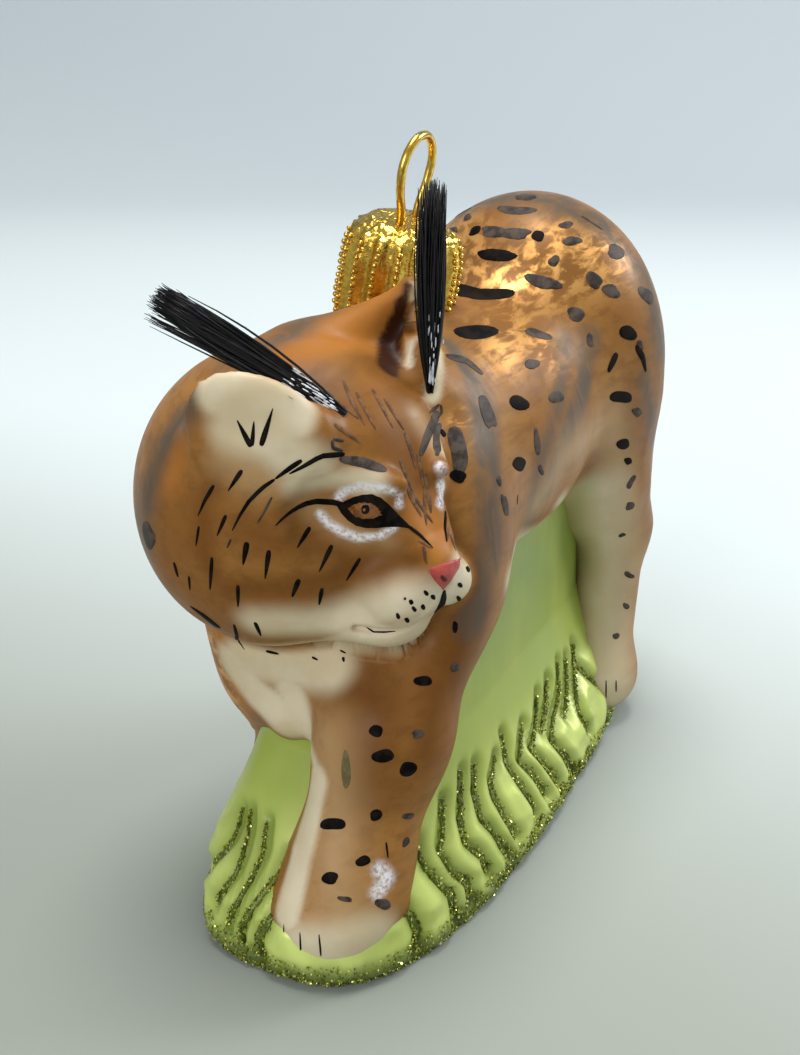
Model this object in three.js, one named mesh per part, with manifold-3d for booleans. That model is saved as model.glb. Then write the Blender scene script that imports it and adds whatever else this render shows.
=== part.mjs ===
// A hanging glass ornament: a lynx that walks on a grassy base, its head turned to its left.
// Millimetres, +Z up. The origin is on the floor at the middle of the base, -Y is the lynx's front
// and +X its left. Every form of the animal is a smooth field, below zero inside the glass.
import * as THREE from "three";
import { mergeVertices } from "three/addons/utils/BufferGeometryUtils.js";
import Module from "manifold-3d";

const wasm = await Module();
wasm.setup();

// Driving dimensions
const base = { halfLength: 47.2, halfWidth: 18.3, squareness: 2.8 };
const wall = { halfLength: 36, halfWidth: 13.6, squareness: 4, offsetX: -1 };
const blades = { count: 38, columnsEach: 3, depth: 0.9 };
const head = { centre: [-1.2, -27.3, 49.7], yaw: -16.2, pitch: 4.1, roll: -0.4, size: 0.99 };
const cap = { centre: [-5.3, -6, 65.2], radius: 6.7, height: 12, leanX: 3, leanY: 12 };
const capRibs = { count: 16, depth: 0.35 };
const wire = { thickness: 1, loopWidth: 8.5, loopHeight: 9.8, sunk: 2.2 };
const tuft = { bristles: 11, rootWidth: 0.85, tipWidth: 0.25, glueRadius: 1.7 };
const gap = 0.3;
const seamOverlap = 2;

// Fields
const clamp01 = (t) => Math.min(1, Math.max(0, t));
const radians = THREE.MathUtils.degToRad;
const vector = (a) => new THREE.Vector3(...a);

function ellipsoid(centre, radii) {
  const least = Math.min(...radii);
  return (p) => {
    const x = (p.x - centre[0]) / radii[0];
    const y = (p.y - centre[1]) / radii[1];
    const z = (p.z - centre[2]) / radii[2];
    const near = Math.hypot(x, y, z);
    const slope = Math.hypot(x / radii[0], y / radii[1], z / radii[2]);
    return slope > 0 ? (near * (near - 1)) / slope : -least;
  };
}

function limb(from, to, fromRadius, toRadius) {
  const start = vector(from);
  const along = vector(to).sub(start);
  const step = new THREE.Vector3();
  return (p) => {
    const t = clamp01(step.copy(p).sub(start).dot(along) / along.lengthSq());
    return step.addScaledVector(along, -t).length() - (fromRadius + (toRadius - fromRadius) * t);
  };
}

function blend(width, ...fields) {
  return (p) => {
    let value = fields[0](p);
    for (let i = 1; i < fields.length; i += 1) {
      const other = fields[i](p);
      const near = Math.max(width - Math.abs(value - other), 0) / width;
      value = Math.min(value, other) - (near * near * width) / 4;
    }
    return value;
  };
}

// A form with a hollow pressed into it, and one with its left side used for both
function carve(width, field, hollow) {
  const outside = blend(width, (p) => -field(p), hollow);
  return (p) => -outside(p);
}
function onBothSides(field) {
  const side = new THREE.Vector3();
  return (p) => field(side.set(p.x, Math.abs(p.y), p.z));
}
const smoothstep = (value, low, high) => {
  const t = clamp01((value - low) / (high - low));
  return t * t * (3 - 2 * t);
};
const bothSides = (make) => [make(1), make(-1)];

// The head's own axes: x towards the nose, y to the lynx's left, z up
const headTurn = new THREE.Matrix4().compose(
  vector(head.centre),
  new THREE.Quaternion().setFromEuler(
    new THREE.Euler(radians(head.roll), radians(head.pitch), radians(head.yaw), "ZYX"),
  ),
  new THREE.Vector3(head.size, head.size, head.size),
);
const headTurnBack = headTurn.clone().invert();
const inHead = (point) => vector(point).applyMatrix4(headTurn);

function turned(field) {
  const local = new THREE.Vector3();
  return (p) => head.size * field(local.copy(p).applyMatrix4(headTurnBack));
}

// The masses of the animal
const torsoField = blend(
  7,
  ellipsoid([-1.6, -17, 43], [14.2, 15, 20]),
  ellipsoid([-2.6, -24, 36], [12.4, 10, 16]),
  ellipsoid([-2, -8, 51.5], [14, 13, 13.5]),
  ellipsoid([-5, -6, 57], [10, 10, 8.2]),
  ellipsoid([0.7, 4, 49.2], [15.3, 20, 16]),
  ellipsoid([0.5, 25, 55.5], [18.5, 17.5, 20.5]),
  ellipsoid([7.4, -19.5, 43.5], [7, 7.6, 13]),
  ellipsoid([-12, -23.5, 33.5], [7.8, 9, 14.5]),
  ellipsoid([8, 27, 45], [9.5, 10.5, 16]),
  ellipsoid([-8, 20, 45], [9.5, 10.5, 16]),
);
const neckField = blend(
  6,
  ellipsoid([-9.2, -28, 49.2], [15, 15.2, 16.8]),
  ellipsoid([-6, -17, 53], [13, 12, 12]),
);

const headMasses = blend(
  2.6,
  ellipsoid([-2, 0, 3.5], [13, 11.6, 13.3]),
  ...bothSides((side) => ellipsoid([-1.5, side * 6, -5], [9.2, 7.4, 9.6])),
  ...bothSides((side) => limb([4.5, side * 3, 8], [12.7, side * 1.8, -0.4], 4.9, 2.7)),
  ellipsoid([10.2, 0, -5.2], [5.8, 5.6, 5.4]),
  ...bothSides((side) => ellipsoid([12, side * 2.6, -6.4], [3.9, 3.3, 3.6])),
  ellipsoid([15, 0, -2.8], [2, 3, 2.4]),
  ellipsoid([8.8, 0, -9.5], [3.9, 4.2, 3]),
);
const headField = turned((p) => headMasses(p) + 0.7);

// The left half of what the mould pressed into the face: a socket, a brow over it and the eye in it
const socket = ellipsoid([9.4, 9.9, 3.4], [5.4, 4.1, 4.2]);
const brow = limb([11.6, 3.2, 6.6], [5.4, 7.4, 8.2], 1, 0.9);
const eyeball = ellipsoid([8.9, 4.3, 3.7], [2.6, 2.3, 2.3]);
const inSocket = turned(onBothSides(socket));
const onFace = turned(onBothSides(blend(0.8, brow, eyeball)));
const pressed = (field) => blend(1.2, carve(2, field, inSocket), onFace);

// The left ear: a cupped hump between its front root, its two back roots and its sharp tip
const leftEar = {
  frontRoot: [3.6, 9.6, 11],
  backRoot: [-7.5, 10, 9.5],
  innerRoot: [-8.5, 4, 12.6],
  innerFront: [3, 9, 10.6],
  tip: [-1.2, 11.2, 21.9],
  outerDish: ellipsoid([3.6, 16.6, 16], [5.6, 5, 8]),
  frontDish: ellipsoid([2.6, 5.2, 18.6], [3.4, 3.4, 5.4]),
};
function leftEarField({ frontRoot, backRoot, innerRoot, innerFront, tip, outerDish, frontDish }) {
  const hump = blend(
    1.8,
    limb(frontRoot, tip, 2.4, 0.5),
    limb(backRoot, tip, 3.4, 0.5),
    limb(innerRoot, tip, 4.2, 0.5),
    limb(innerRoot, innerFront, 3.6, 2.4),
  );
  return turned(carve(1.2, carve(0.8, hump, outerDish), frontDish));
}

// The right ear: a plate whose face is turned to the front, carried by the neck and the forehead
const rightEar = {
  centre: [0.3, -12.2, 12.6],
  along: [-0.785, -0.573, 0.237],
  up: [0.19, 0.14, 0.97],
  radii: [7.2, 5, 1.5],
  dish: ellipsoid([-0.6, 0, -6.6], [6, 4.4, 5.6]),
};
function rightEarField({ centre, along, up, radii, dish }) {
  const [middle, sideways, upwards] = [centre, along, up].map((values) => new THREE.Vector3(...values));
  const outwards = sideways.clone().cross(upwards);
  const plate = ellipsoid([0, 0, 0], radii);
  const away = new THREE.Vector3();
  const flat = new THREE.Vector3();
  const onPlate = (field) => (p) => {
    away.subVectors(p, middle);
    return field(flat.set(away.dot(sideways), away.dot(upwards), away.dot(outwards)));
  };
  const flap = blend(
    2,
    onPlate(plate),
    limb([-8.5, -6, 9.5], [-3, -11, 12.5], 4, 2.2),
    limb([3.5, -7.8, 10.5], [1, -11.2, 12], 3.4, 1.8),
  );
  return turned(carve(0.8, flap, onPlate(dish)));
}
const ears = {
  ear_left: { field: leftEarField(leftEar), spine: [[-3.5, 8, 12.5], [-2.4, 9.4, 16]], colour: 0xb0702f },
  ear_right: { field: rightEarField(rightEar), spine: [[0.8, -11.4, 12], [-3, -11.6, 12.6]], colour: 0xe6d9bd },
};

// A leg from its shoulder or hip through the knee and the ankle to the paw
function legField({ hip, knee, ankle, paw, hipRadius, kneeRadius, ankleRadius, pawRadii }) {
  return blend(
    4,
    limb(hip, knee, hipRadius, kneeRadius),
    limb(knee, ankle, kneeRadius, ankleRadius),
    limb(ankle, paw, ankleRadius, 0.9 * pawRadii[2]),
    ellipsoid(paw, pawRadii),
  );
}
const legs = {
  leg_front_left: {
    hip: [7, -22.5, 38],
    knee: [6, -30.5, 24],
    ankle: [5, -37.5, 9],
    paw: [4.2, -40, 6],
    hipRadius: 7.4,
    kneeRadius: 7,
    ankleRadius: 6.4,
    pawRadii: [7, 6.4, 4.6],
    seam: 33,
  },
  leg_front_right: {
    hip: [-11.5, -22, 33],
    knee: [-11, -22, 22],
    ankle: [-12, -20, 9],
    paw: [-13, -22, 5.5],
    hipRadius: 8,
    kneeRadius: 6,
    ankleRadius: 4.6,
    pawRadii: [5.4, 7, 4],
    seam: 27,
  },
  leg_hind_left: {
    hip: [8, 27, 46],
    knee: [12, 27.5, 34],
    ankle: [13.6, 30, 24],
    paw: [13.8, 26.6, 6],
    hipRadius: 9.5,
    kneeRadius: 6.4,
    ankleRadius: 4.6,
    pawRadii: [4.7, 6.2, 4.6],
    seam: 37,
  },
  leg_hind_right: {
    hip: [-8, 20, 46],
    knee: [-11, 12, 30],
    ankle: [-12.5, 15, 18],
    paw: [-13, 10, 6],
    hipRadius: 9.5,
    kneeRadius: 7,
    ankleRadius: 4.8,
    pawRadii: [5, 7, 4.4],
    seam: 37,
  },
};
const tailRoot = [-1, 38, 64];
const tailTip = [-2.5, 43.5, 50];
const tailField = limb(tailRoot, tailTip, 4, 3.2);

// Seams: a part's territory is below zero where the skin belongs to it
const within = (field, reach) => (p) => field(p) - reach;
const below = (height) => (p) => p.z - height;
const both = (one, other) => (p) => Math.max(one(p), other(p));
const headSeam = turned((p) => -6 - p.x - 0.15 * p.z);
const neckSeam = (p) => p.y + 16.5 - 0.35 * (p.z - 50);
const seamDetail = 3;

// Each part of the animal, the ones that are cut out of the others first.
// A part's spine runs inside it, and its skin is found by rays out from there.
const animal = [
  ...Object.entries(ears).map(([name, { field, spine, colour }]) => ({
    name,
    field,
    territory: within(field, 0.6),
    spine: spine.map(inHead),
    detail: 4,
    colour,
  })),
  {
    name: "head",
    field: headField,
    territory: both(within(headField, 2.5), headSeam),
    spine: [inHead([-1, 0, 0]), inHead([7, 0, -4])],
    detail: 9,
    colour: 0xb87432,
  },
  {
    name: "neck",
    field: neckField,
    territory: both(within(neckField, 2), neckSeam),
    spine: [vector([-9, -28, 44]), vector([-8, -25, 54])],
    detail: 5,
    colour: 0xa9713c,
  },
  ...Object.entries(legs).map(([name, leg]) => {
    const field = legField(leg);
    return {
      name,
      field,
      territory: both(within(field, 2), below(leg.seam)),
      spine: [vector(leg.hip).lerp(vector(leg.knee), 0.8), vector(leg.ankle).lerp(vector(leg.paw), 0.6)],
      detail: 4,
      colour: 0xd0a36c,
    };
  }),
  {
    name: "tail",
    field: tailField,
    territory: within(tailField, 1),
    spine: [vector(tailRoot).lerp(vector(tailTip), 0.2), vector(tailTip)],
    detail: 2,
    colour: 0x9a6230,
  },
  {
    name: "torso",
    field: torsoField,
    spine: [vector([0, -14, 46]), vector([0, 22, 54])],
    detail: 7,
    colour: 0xb0702f,
  },
];
const skinBlend = 4;

// The one skin: the face crisp, the nape running smoothly into the back
const fieldOf = (name) => animal.find((part) => part.name === name).field;
const faceField = blend(1.6, fieldOf("head"), fieldOf("ear_left"), fieldOf("ear_right"));
const frontField = pressed(blend(5, faceField, fieldOf("neck")));
const rearNames = [...Object.keys(legs), "tail", "torso"];
const rearField = blend(skinBlend, ...rearNames.map(fieldOf));
function wholeField(p) {
  const width = 0.8 + 6 * smoothstep(p.y, -25, -12) * smoothstep(p.z, 44, 56);
  return blend(width, frontField, rearField)(p);
}

// Solids
function skinOf(part, detail, field) {
  const ball = new THREE.IcosahedronGeometry(1, detail);
  ball.deleteAttribute("normal");
  ball.deleteAttribute("uv");
  const skin = mergeVertices(ball, 1e-4);
  const [from, to] = part.spine;
  const axis = to.clone().sub(from).normalize();
  const direction = new THREE.Vector3();
  const start = new THREE.Vector3();
  const point = new THREE.Vector3();
  for (let i = 0; i < skin.attributes.position.count; i += 1) {
    direction.fromBufferAttribute(skin.attributes.position, i).normalize();
    start.lerpVectors(from, to, (direction.dot(axis) + 1) / 2);
    const reach = reachOf(field, start, direction, point);
    point.copy(start).addScaledVector(direction, reach);
    skin.attributes.position.setXYZ(i, point.x, point.y, point.z);
  }
  return solidOf(skin);
}

// How far a ray goes before it leaves the field's inside
function reachOf(field, start, direction, point) {
  const stride = 0.6;
  let inside = 0;
  let outside = stride;
  while (field(point.copy(start).addScaledVector(direction, outside)) < 0) {
    inside = outside;
    outside += stride;
  }
  for (let i = 0; i < 14; i += 1) {
    const middle = (inside + outside) / 2;
    if (field(point.copy(start).addScaledVector(direction, middle)) < 0) inside = middle;
    else outside = middle;
  }
  return Math.max(inside, 0.05);
}

function solidOf(geometry) {
  const plain = geometry.clone();
  plain.deleteAttribute("normal");
  plain.deleteAttribute("uv");
  const merged = mergeVertices(plain, 1e-4);
  const mesh = new wasm.Mesh({
    numProp: 3,
    vertProperties: Float32Array.from(merged.attributes.position.array),
    triVerts: Uint32Array.from(merged.index.array),
  });
  mesh.merge();
  return new wasm.Manifold(mesh);
}

function largestOf(solid) {
  return solid.decompose().reduce((best, piece) => (piece.volume() > best.volume() ? piece : best));
}

function meshOf(name, solid, colour, roughness = 0.35, metalness = 0) {
  const { vertProperties, triVerts } = largestOf(solid).getMesh();
  const geometry = new THREE.BufferGeometry();
  geometry.setAttribute("position", new THREE.BufferAttribute(Float32Array.from(vertProperties), 3));
  geometry.setIndex(new THREE.BufferAttribute(Uint32Array.from(triVerts), 1));
  geometry.computeVertexNormals();
  const finish = new THREE.MeshStandardMaterial({ color: colour, roughness, metalness });
  const mesh = new THREE.Mesh(geometry, finish);
  mesh.name = name;
  return mesh;
}

// The animal's one skin, parted along the edges of the territories. Each part also gets its room: the
// same form with the gap around it, to cut what it stands on or carries.
function partAnimal() {
  const taken = [];
  return new Map(
    animal.map((part) => {
      const near = part.territory ?? part.field;
      const skin = (room) =>
        skinOf(part, part.detail, (p) => Math.max(wholeField(p), near(p) - seamOverlap) - room);
      const region = (room) =>
        skinOf(part, seamDetail, (p) => Math.max(wholeField(p) - seamOverlap, near(p) - room));
      let solid = skin(0);
      let room = skin(gap);
      if (part.territory) {
        solid = solid.intersect(region(-gap));
        room = room.intersect(region(0));
      }
      for (const other of taken) solid = solid.subtract(other);
      if (part.territory) taken.push(region(0));
      return [part.name, { solid, room }];
    }),
  );
}
const parted = partAnimal();
const clearOf = (solid, names) => names.reduce((left, name) => left.subtract(parted.get(name).room), solid);

// The base: a boat-shaped mound of moulded grass that narrows to the wall under the belly
// Rows of its surface from the floor up: height, and how far the way in to the wall has gone
const baseRows = [
  [0, 0.05],
  [1.2, 0],
  [3.6, 0],
  [6.2, 0.08],
  [9, 0.35],
  [12.5, 0.8],
  [20, 1.35],
  [39, 1.5],
];
function grassBase() {
  const columns = blades.count * blades.columnsEach;
  const tube = new THREE.CylinderGeometry(1, 1, baseRows.length - 1, columns, baseRows.length - 1);
  tube.rotateX(Math.PI / 2);
  const place = tube.attributes.position;
  for (let i = 0; i < place.count; i += 1) {
    const row = Math.round(place.getZ(i) + (baseRows.length - 1) / 2);
    const centred = Math.hypot(place.getX(i), place.getY(i)) < 0.5;
    const angle = Math.atan2(place.getY(i), place.getX(i));
    const [height, inward] = baseRows[row];
    const [x, y] = centred ? [0, 0] : baseOutline(angle, height, inward);
    place.setXYZ(i, x, y, height);
  }
  return solidOf(tube);
}

function baseOutline(angle, height, inward) {
  const between = (name) => base[name] + (wall[name] - base[name]) * inward;
  const [halfLength, halfWidth, squareness] = ["halfLength", "halfWidth", "squareness"].map(between);
  const across = Math.abs(Math.cos(angle) / halfWidth) ** squareness;
  const along = Math.abs(Math.sin(angle) / halfLength) ** squareness;
  const radius = (across + along) ** (-1 / squareness);
  const groove = 1 - Math.abs(Math.sin((angle * blades.count) / 2));
  const swell = radius - blades.depth * groove * (1 - clamp01((height - 5) / 10));
  return [swell * Math.cos(angle) + wall.offsetX * inward, swell * Math.sin(angle)];
}

// The metal cap and its wire loop, both in the cap's own leaning axes
const capTurn = new THREE.Matrix4().compose(
  vector(cap.centre),
  new THREE.Quaternion().setFromEuler(new THREE.Euler(radians(cap.leanX), radians(cap.leanY), 0)),
  new THREE.Vector3(1, 1, 1),
);

function capSolid() {
  const skirtDepth = 5;
  const { radius, height } = cap;
  const profile = [
    [0, -skirtDepth],
    [radius * 0.96, -skirtDepth],
    [radius, 0.6],
    [radius * 0.985, height * 0.62],
    [radius * 0.9, height * 0.86],
    [radius * 0.62, height * 0.97],
    [0, height],
  ].map(([x, y]) => new THREE.Vector2(x, y));
  const shell = new THREE.LatheGeometry(profile, capRibs.count * 4);
  shell.rotateX(Math.PI / 2);
  const place = shell.attributes.position;
  for (let i = 0; i < place.count; i += 1) {
    const angle = Math.atan2(place.getY(i), place.getX(i));
    const out = Math.hypot(place.getX(i), place.getY(i)) / radius;
    const ribbed = clamp01((out - 0.8) * 6);
    const rib = 1 + (capRibs.depth / radius) * Math.cos(angle * capRibs.count) * ribbed;
    place.setXYZ(i, place.getX(i) * rib, place.getY(i) * rib, place.getZ(i));
  }
  return solidOf(shell.applyMatrix4(capTurn));
}

function wireSolid(thickness, sunk) {
  const half = (wire.loopWidth - wire.thickness) / 2;
  const tall = wire.loopHeight - wire.thickness / 2;
  const foot = half * 0.55;
  const path = new THREE.CatmullRomCurve3(
    [
      [-foot, cap.height - sunk],
      [-foot, cap.height + 0.4],
      ...Array.from({ length: 7 }, (_, i) => {
        const turn = Math.PI * (1.12 - (1.24 * i) / 6);
        return [half * Math.cos(turn), cap.height + tall - half + half * Math.sin(turn)];
      }),
      [foot, cap.height + 0.4],
      [foot, cap.height - sunk],
    ].map(([y, z]) => new THREE.Vector3(0, y, z)),
    false,
    "centripetal",
  );
  const section = new THREE.Shape();
  section.absarc(0, 0, thickness / 2, 0, 2 * Math.PI);
  const bent = new THREE.ExtrudeGeometry(section, {
    steps: 26,
    curveSegments: 4,
    bevelEnabled: false,
    extrudePath: path,
  });
  return solidOf(bent.applyMatrix4(capTurn));
}

// A tuft of stiff bristles that fans out of a bead of glue on the ear
function seededDraws(seed) {
  let state = seed;
  return () => {
    state = (state * 1664525 + 1013904223) % 4294967296;
    return state / 4294967296;
  };
}

function bristle(root, tip, sag) {
  const along = tip.clone().sub(root);
  const spike = new THREE.CylinderGeometry(tuft.tipWidth / 2, tuft.rootWidth / 2, along.length(), 5, 3);
  spike.translate(0, along.length() / 2, 0);
  spike.applyQuaternion(
    new THREE.Quaternion().setFromUnitVectors(new THREE.Vector3(0, 1, 0), along.clone().normalize()),
  );
  const place = spike.attributes.position;
  const point = new THREE.Vector3();
  for (let i = 0; i < place.count; i += 1) {
    point.fromBufferAttribute(place, i);
    const t = point.dot(along) / along.lengthSq();
    point.addScaledVector(sag, t * t).add(root);
    place.setXYZ(i, point.x, point.y, point.z);
  }
  return solidOf(spike);
}

function tuftSolid({ root, tip, spread, flat, seed }) {
  const draw = seededDraws(seed);
  const glue = new THREE.IcosahedronGeometry(tuft.glueRadius, 1);
  glue.translate(root.x, root.y, root.z);
  const along = tip.clone().sub(root);
  const across = flat.clone().cross(along).normalize();
  const through = along.clone().cross(across).normalize();
  let solid = solidOf(glue);
  for (let i = 0; i < tuft.bristles; i += 1) {
    const lane = i / (tuft.bristles - 1) - 0.5;
    const depth = draw() - 0.5;
    const foot = root.clone().addScaledVector(across, lane * 1.8).addScaledVector(through, depth * 0.8);
    const reach = 0.82 + 0.18 * draw();
    const point = root
      .clone()
      .addScaledVector(along, reach)
      .addScaledVector(across, lane * spread)
      .addScaledVector(through, depth * spread * 0.45);
    solid = solid.add(bristle(foot, point, across.clone().multiplyScalar(lane * 1.2)));
  }
  return solid;
}

const tufts = {
  tuft_left: {
    root: inHead([3.2, 10.8, 12.2]),
    tip: inHead([2, 10.6, 33.8]),
    spread: 3.6,
    flat: new THREE.Vector3(0.7, -0.7, 0),
    seed: 11,
  },
  tuft_right: {
    root: inHead([5, -6.2, 13.6]),
    tip: inHead([-10.2, -16.6, 20.8]),
    spread: 7,
    flat: new THREE.Vector3(0.4, -0.9, 0),
    seed: 23,
  },
};

// The whole ornament
const ornament = new THREE.Group();
for (const part of animal) {
  ornament.add(meshOf(part.name, parted.get(part.name).solid, part.colour));
}

const fleshOnBase = ["torso", "neck", "tail", ...Object.keys(legs)];
ornament.add(meshOf("grass_base", clearOf(grassBase(), fleshOnBase), 0x8fae4d, 0.3));

const wireHole = wireSolid(wire.thickness + 2 * gap, wire.sunk + gap);
const capBody = clearOf(capSolid(), ["torso", "neck", "head"]).subtract(wireHole);
ornament.add(meshOf("cap", capBody, 0xc9a13b, 0.3, 1));
ornament.add(meshOf("hanger", wireSolid(wire.thickness, wire.sunk), 0xcfae55, 0.25, 1));

for (const [name, form] of Object.entries(tufts)) {
  const ear = name.replace("tuft", "ear");
  ornament.add(meshOf(name, clearOf(tuftSolid(form), [ear, "head", "neck", "torso"]), 0x141414, 0.6));
}

export default ornament;
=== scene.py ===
import bmesh
import bpy
import math
import numpy as np
import random
from mathutils import Euler, Matrix, Vector, noise
from mathutils.bvhtree import BVHTree


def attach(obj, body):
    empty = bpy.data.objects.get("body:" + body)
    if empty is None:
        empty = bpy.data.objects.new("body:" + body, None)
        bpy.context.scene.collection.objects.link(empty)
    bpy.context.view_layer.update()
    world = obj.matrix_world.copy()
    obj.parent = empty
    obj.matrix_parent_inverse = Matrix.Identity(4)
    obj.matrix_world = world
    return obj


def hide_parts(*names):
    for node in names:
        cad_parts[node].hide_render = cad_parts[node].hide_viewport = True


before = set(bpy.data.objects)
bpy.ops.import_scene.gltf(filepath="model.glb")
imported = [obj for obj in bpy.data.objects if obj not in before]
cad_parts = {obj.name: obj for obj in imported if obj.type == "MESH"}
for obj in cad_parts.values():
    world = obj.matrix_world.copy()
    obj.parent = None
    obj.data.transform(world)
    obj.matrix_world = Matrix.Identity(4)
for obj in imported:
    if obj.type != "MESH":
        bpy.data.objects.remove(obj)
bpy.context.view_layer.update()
print("frame loaded")

# Shapes are worked out in millimetres and made metres when an object is made
mm = 0.001

# Camera: where the photograph was taken from, and its frame in pixels
photo = {
    "place": (61.37, -137.55, 100.13),
    "turn": 26.495,
    "tiltDown": 23.0,
    "focal": 1250.0,
    "width": 800,
    "height": 1055,
}


def makeCamera():
    data = bpy.data.cameras.new("photoCamera")
    data.sensor_width = 36
    data.lens = 36 * photo["focal"] / photo["height"]
    data.clip_start = 0.005
    data.clip_end = 20
    camera = bpy.data.objects.new("photoCamera", data)
    camera.location = Vector(photo["place"]) * mm
    camera.rotation_euler = (math.radians(90 - photo["tiltDown"]), 0, math.radians(photo["turn"]))
    bpy.context.scene.collection.objects.link(camera)
    bpy.context.scene.camera = camera


# The line of sight through a pixel of the photograph, in millimetres
def sight(x, y):
    turned = Euler((math.radians(90 - photo["tiltDown"]), 0, math.radians(photo["turn"])))
    across = (x - photo["width"] / 2) / photo["focal"]
    up = (photo["height"] / 2 - y) / photo["focal"]
    ray = Vector((across, up, -1))
    ray.rotate(turned)
    return Vector(photo["place"]), ray.normalized()


makeCamera()
print("camera made")


# Helpers for meshes
def meshOf(name, shape):
    data = bpy.data.meshes.new(name)
    shape.to_mesh(data)
    shape.free()
    return data


def finished(name, shape, material, replacing=()):
    bmesh.ops.recalc_face_normals(shape, faces=shape.faces)
    shape.normal_update()
    dressed(name, meshOf(name, shape), material, replacing=replacing)


def dressed(name, data, material, smooth=True, replacing=()):
    data.materials.clear()
    data.materials.append(material)
    data.polygons.foreach_set("use_smooth", [smooth] * len(data.polygons))
    piece = bpy.data.objects.new(name, data)
    bpy.context.scene.collection.objects.link(piece)
    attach(piece, "root")
    if replacing:
        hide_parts(*replacing)


# Helpers for materials
def newMaterial(name):
    material = bpy.data.materials.new(name)
    material.use_nodes = True
    tree = material.node_tree
    return material, tree, tree.nodes["Principled BSDF"]


def add(tree, kind, **values):
    node = tree.nodes.new(kind)
    for key, value in values.items():
        setattr(node, key, value)
    return node


# Gives a node its numbers, colours and links, by the names of its sockets
def feed(tree, node, values):
    for name, value in values.items():
        socket = [s for s in node.inputs if s.name == name and s.enabled][0]
        if isinstance(value, bpy.types.NodeSocket):
            tree.links.new(value, socket)
        elif socket.type == "RGBA":
            socket.default_value = (*value, 1)
        else:
            socket.default_value = value


def objectNoise(tree, scale, detail=4.0, roughness=0.55, stretch=(1, 1, 1), distortion=0.0, turn=0.0):
    place = add(tree, "ShaderNodeTexCoord").outputs["Object"]
    mapping = add(tree, "ShaderNodeMapping")
    feed(tree, mapping, {"Vector": place, "Rotation": (math.radians(turn), 0, 0), "Scale": stretch})
    texture = add(tree, "ShaderNodeTexNoise")
    feed(tree, texture, {"Vector": mapping.outputs["Vector"], "Scale": scale, "Detail": detail})
    feed(tree, texture, {"Roughness": roughness, "Distortion": distortion})
    return texture.outputs["Fac"]


def objectAxis(tree, axis):
    split = add(tree, "ShaderNodeSeparateXYZ")
    feed(tree, split, {"Vector": add(tree, "ShaderNodeTexCoord").outputs["Object"]})
    return split.outputs[axis]


def ramp(tree, source, low, high, fromValue=0.0, toValue=1.0):
    node = add(tree, "ShaderNodeMapRange", interpolation_type="SMOOTHSTEP")
    feed(tree, node, {"Value": source, "From Min": low, "From Max": high, "To Min": fromValue, "To Max": toValue})
    return node.outputs["Result"]


def times(tree, first, second):
    node = add(tree, "ShaderNodeMath", operation="MULTIPLY", use_clamp=True)
    tree.links.new(first, node.inputs[0])
    if isinstance(second, bpy.types.NodeSocket):
        tree.links.new(second, node.inputs[1])
    else:
        node.inputs[1].default_value = second
    return node.outputs[0]


def mixed(tree, amount, first, second):
    node = add(tree, "ShaderNodeMix", data_type="RGBA")
    feed(tree, node, {"Factor": amount, "A": first, "B": second})
    return [s for s in node.outputs if s.enabled][0]


# Further colours over the first: how much of each, and the colour
def layered(tree, colour, layers):
    for amount, paint in layers:
        colour = mixed(tree, amount, colour, paint)
    return colour


def attribute(tree, name):
    return add(tree, "ShaderNodeAttribute", attribute_name=name).outputs["Fac"]


def bumped(tree, shader, height, strength, distance):
    node = add(tree, "ShaderNodeBump")
    feed(tree, node, {"Height": height, "Strength": strength, "Distance": distance * mm})
    feed(tree, shader, {"Normal": node.outputs["Normal"]})


# Fields: arrays of points in, distance to the surface out, below zero inside the glass
def ball(points, centre, radii):
    away = (points - np.array(centre)) / np.array(radii)
    near = np.linalg.norm(away, axis=1)
    slope = np.linalg.norm(away / np.array(radii), axis=1)
    return near * (near - 1) / np.maximum(slope, 1e-6)


def rod(points, start, end, startRadius, endRadius):
    start, end = np.array(start, float), np.array(end, float)
    along = end - start
    t = np.clip((points - start) @ along / (along @ along), 0, 1)
    away = np.linalg.norm(points - start - t[:, None] * along, axis=1)
    return away - (startRadius + (endRadius - startRadius) * t)


def blended(width, *values):
    value = values[0]
    for other in values[1:]:
        near = np.maximum(width - np.abs(value - other), 0) / width
        value = np.minimum(value, other) - near * near * width / 4
    return value


def carved(value, hollow, width):
    return -blended(width, -value, hollow)


def smoothstep(value, low, high):
    t = np.clip((value - low) / (high - low), 0, 1)
    return t * t * (3 - 2 * t)


# The glass animal
headAxes = {"centre": (-1.2, -27.3, 49.7), "yaw": -16.2, "pitch": 4.1, "roll": -0.4, "size": 0.99}
headTurn = np.array(
    Matrix.Rotation(math.radians(headAxes["yaw"]), 3, "Z")
    @ Matrix.Rotation(math.radians(headAxes["pitch"]), 3, "Y")
    @ Matrix.Rotation(math.radians(headAxes["roll"]), 3, "X")
)


def inHead(points):
    return (np.asarray(points, float) - headAxes["centre"]) @ headTurn / headAxes["size"]


def outOfHead(points):
    return np.asarray(points, float) * headAxes["size"] @ headTurn.T + headAxes["centre"]


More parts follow.
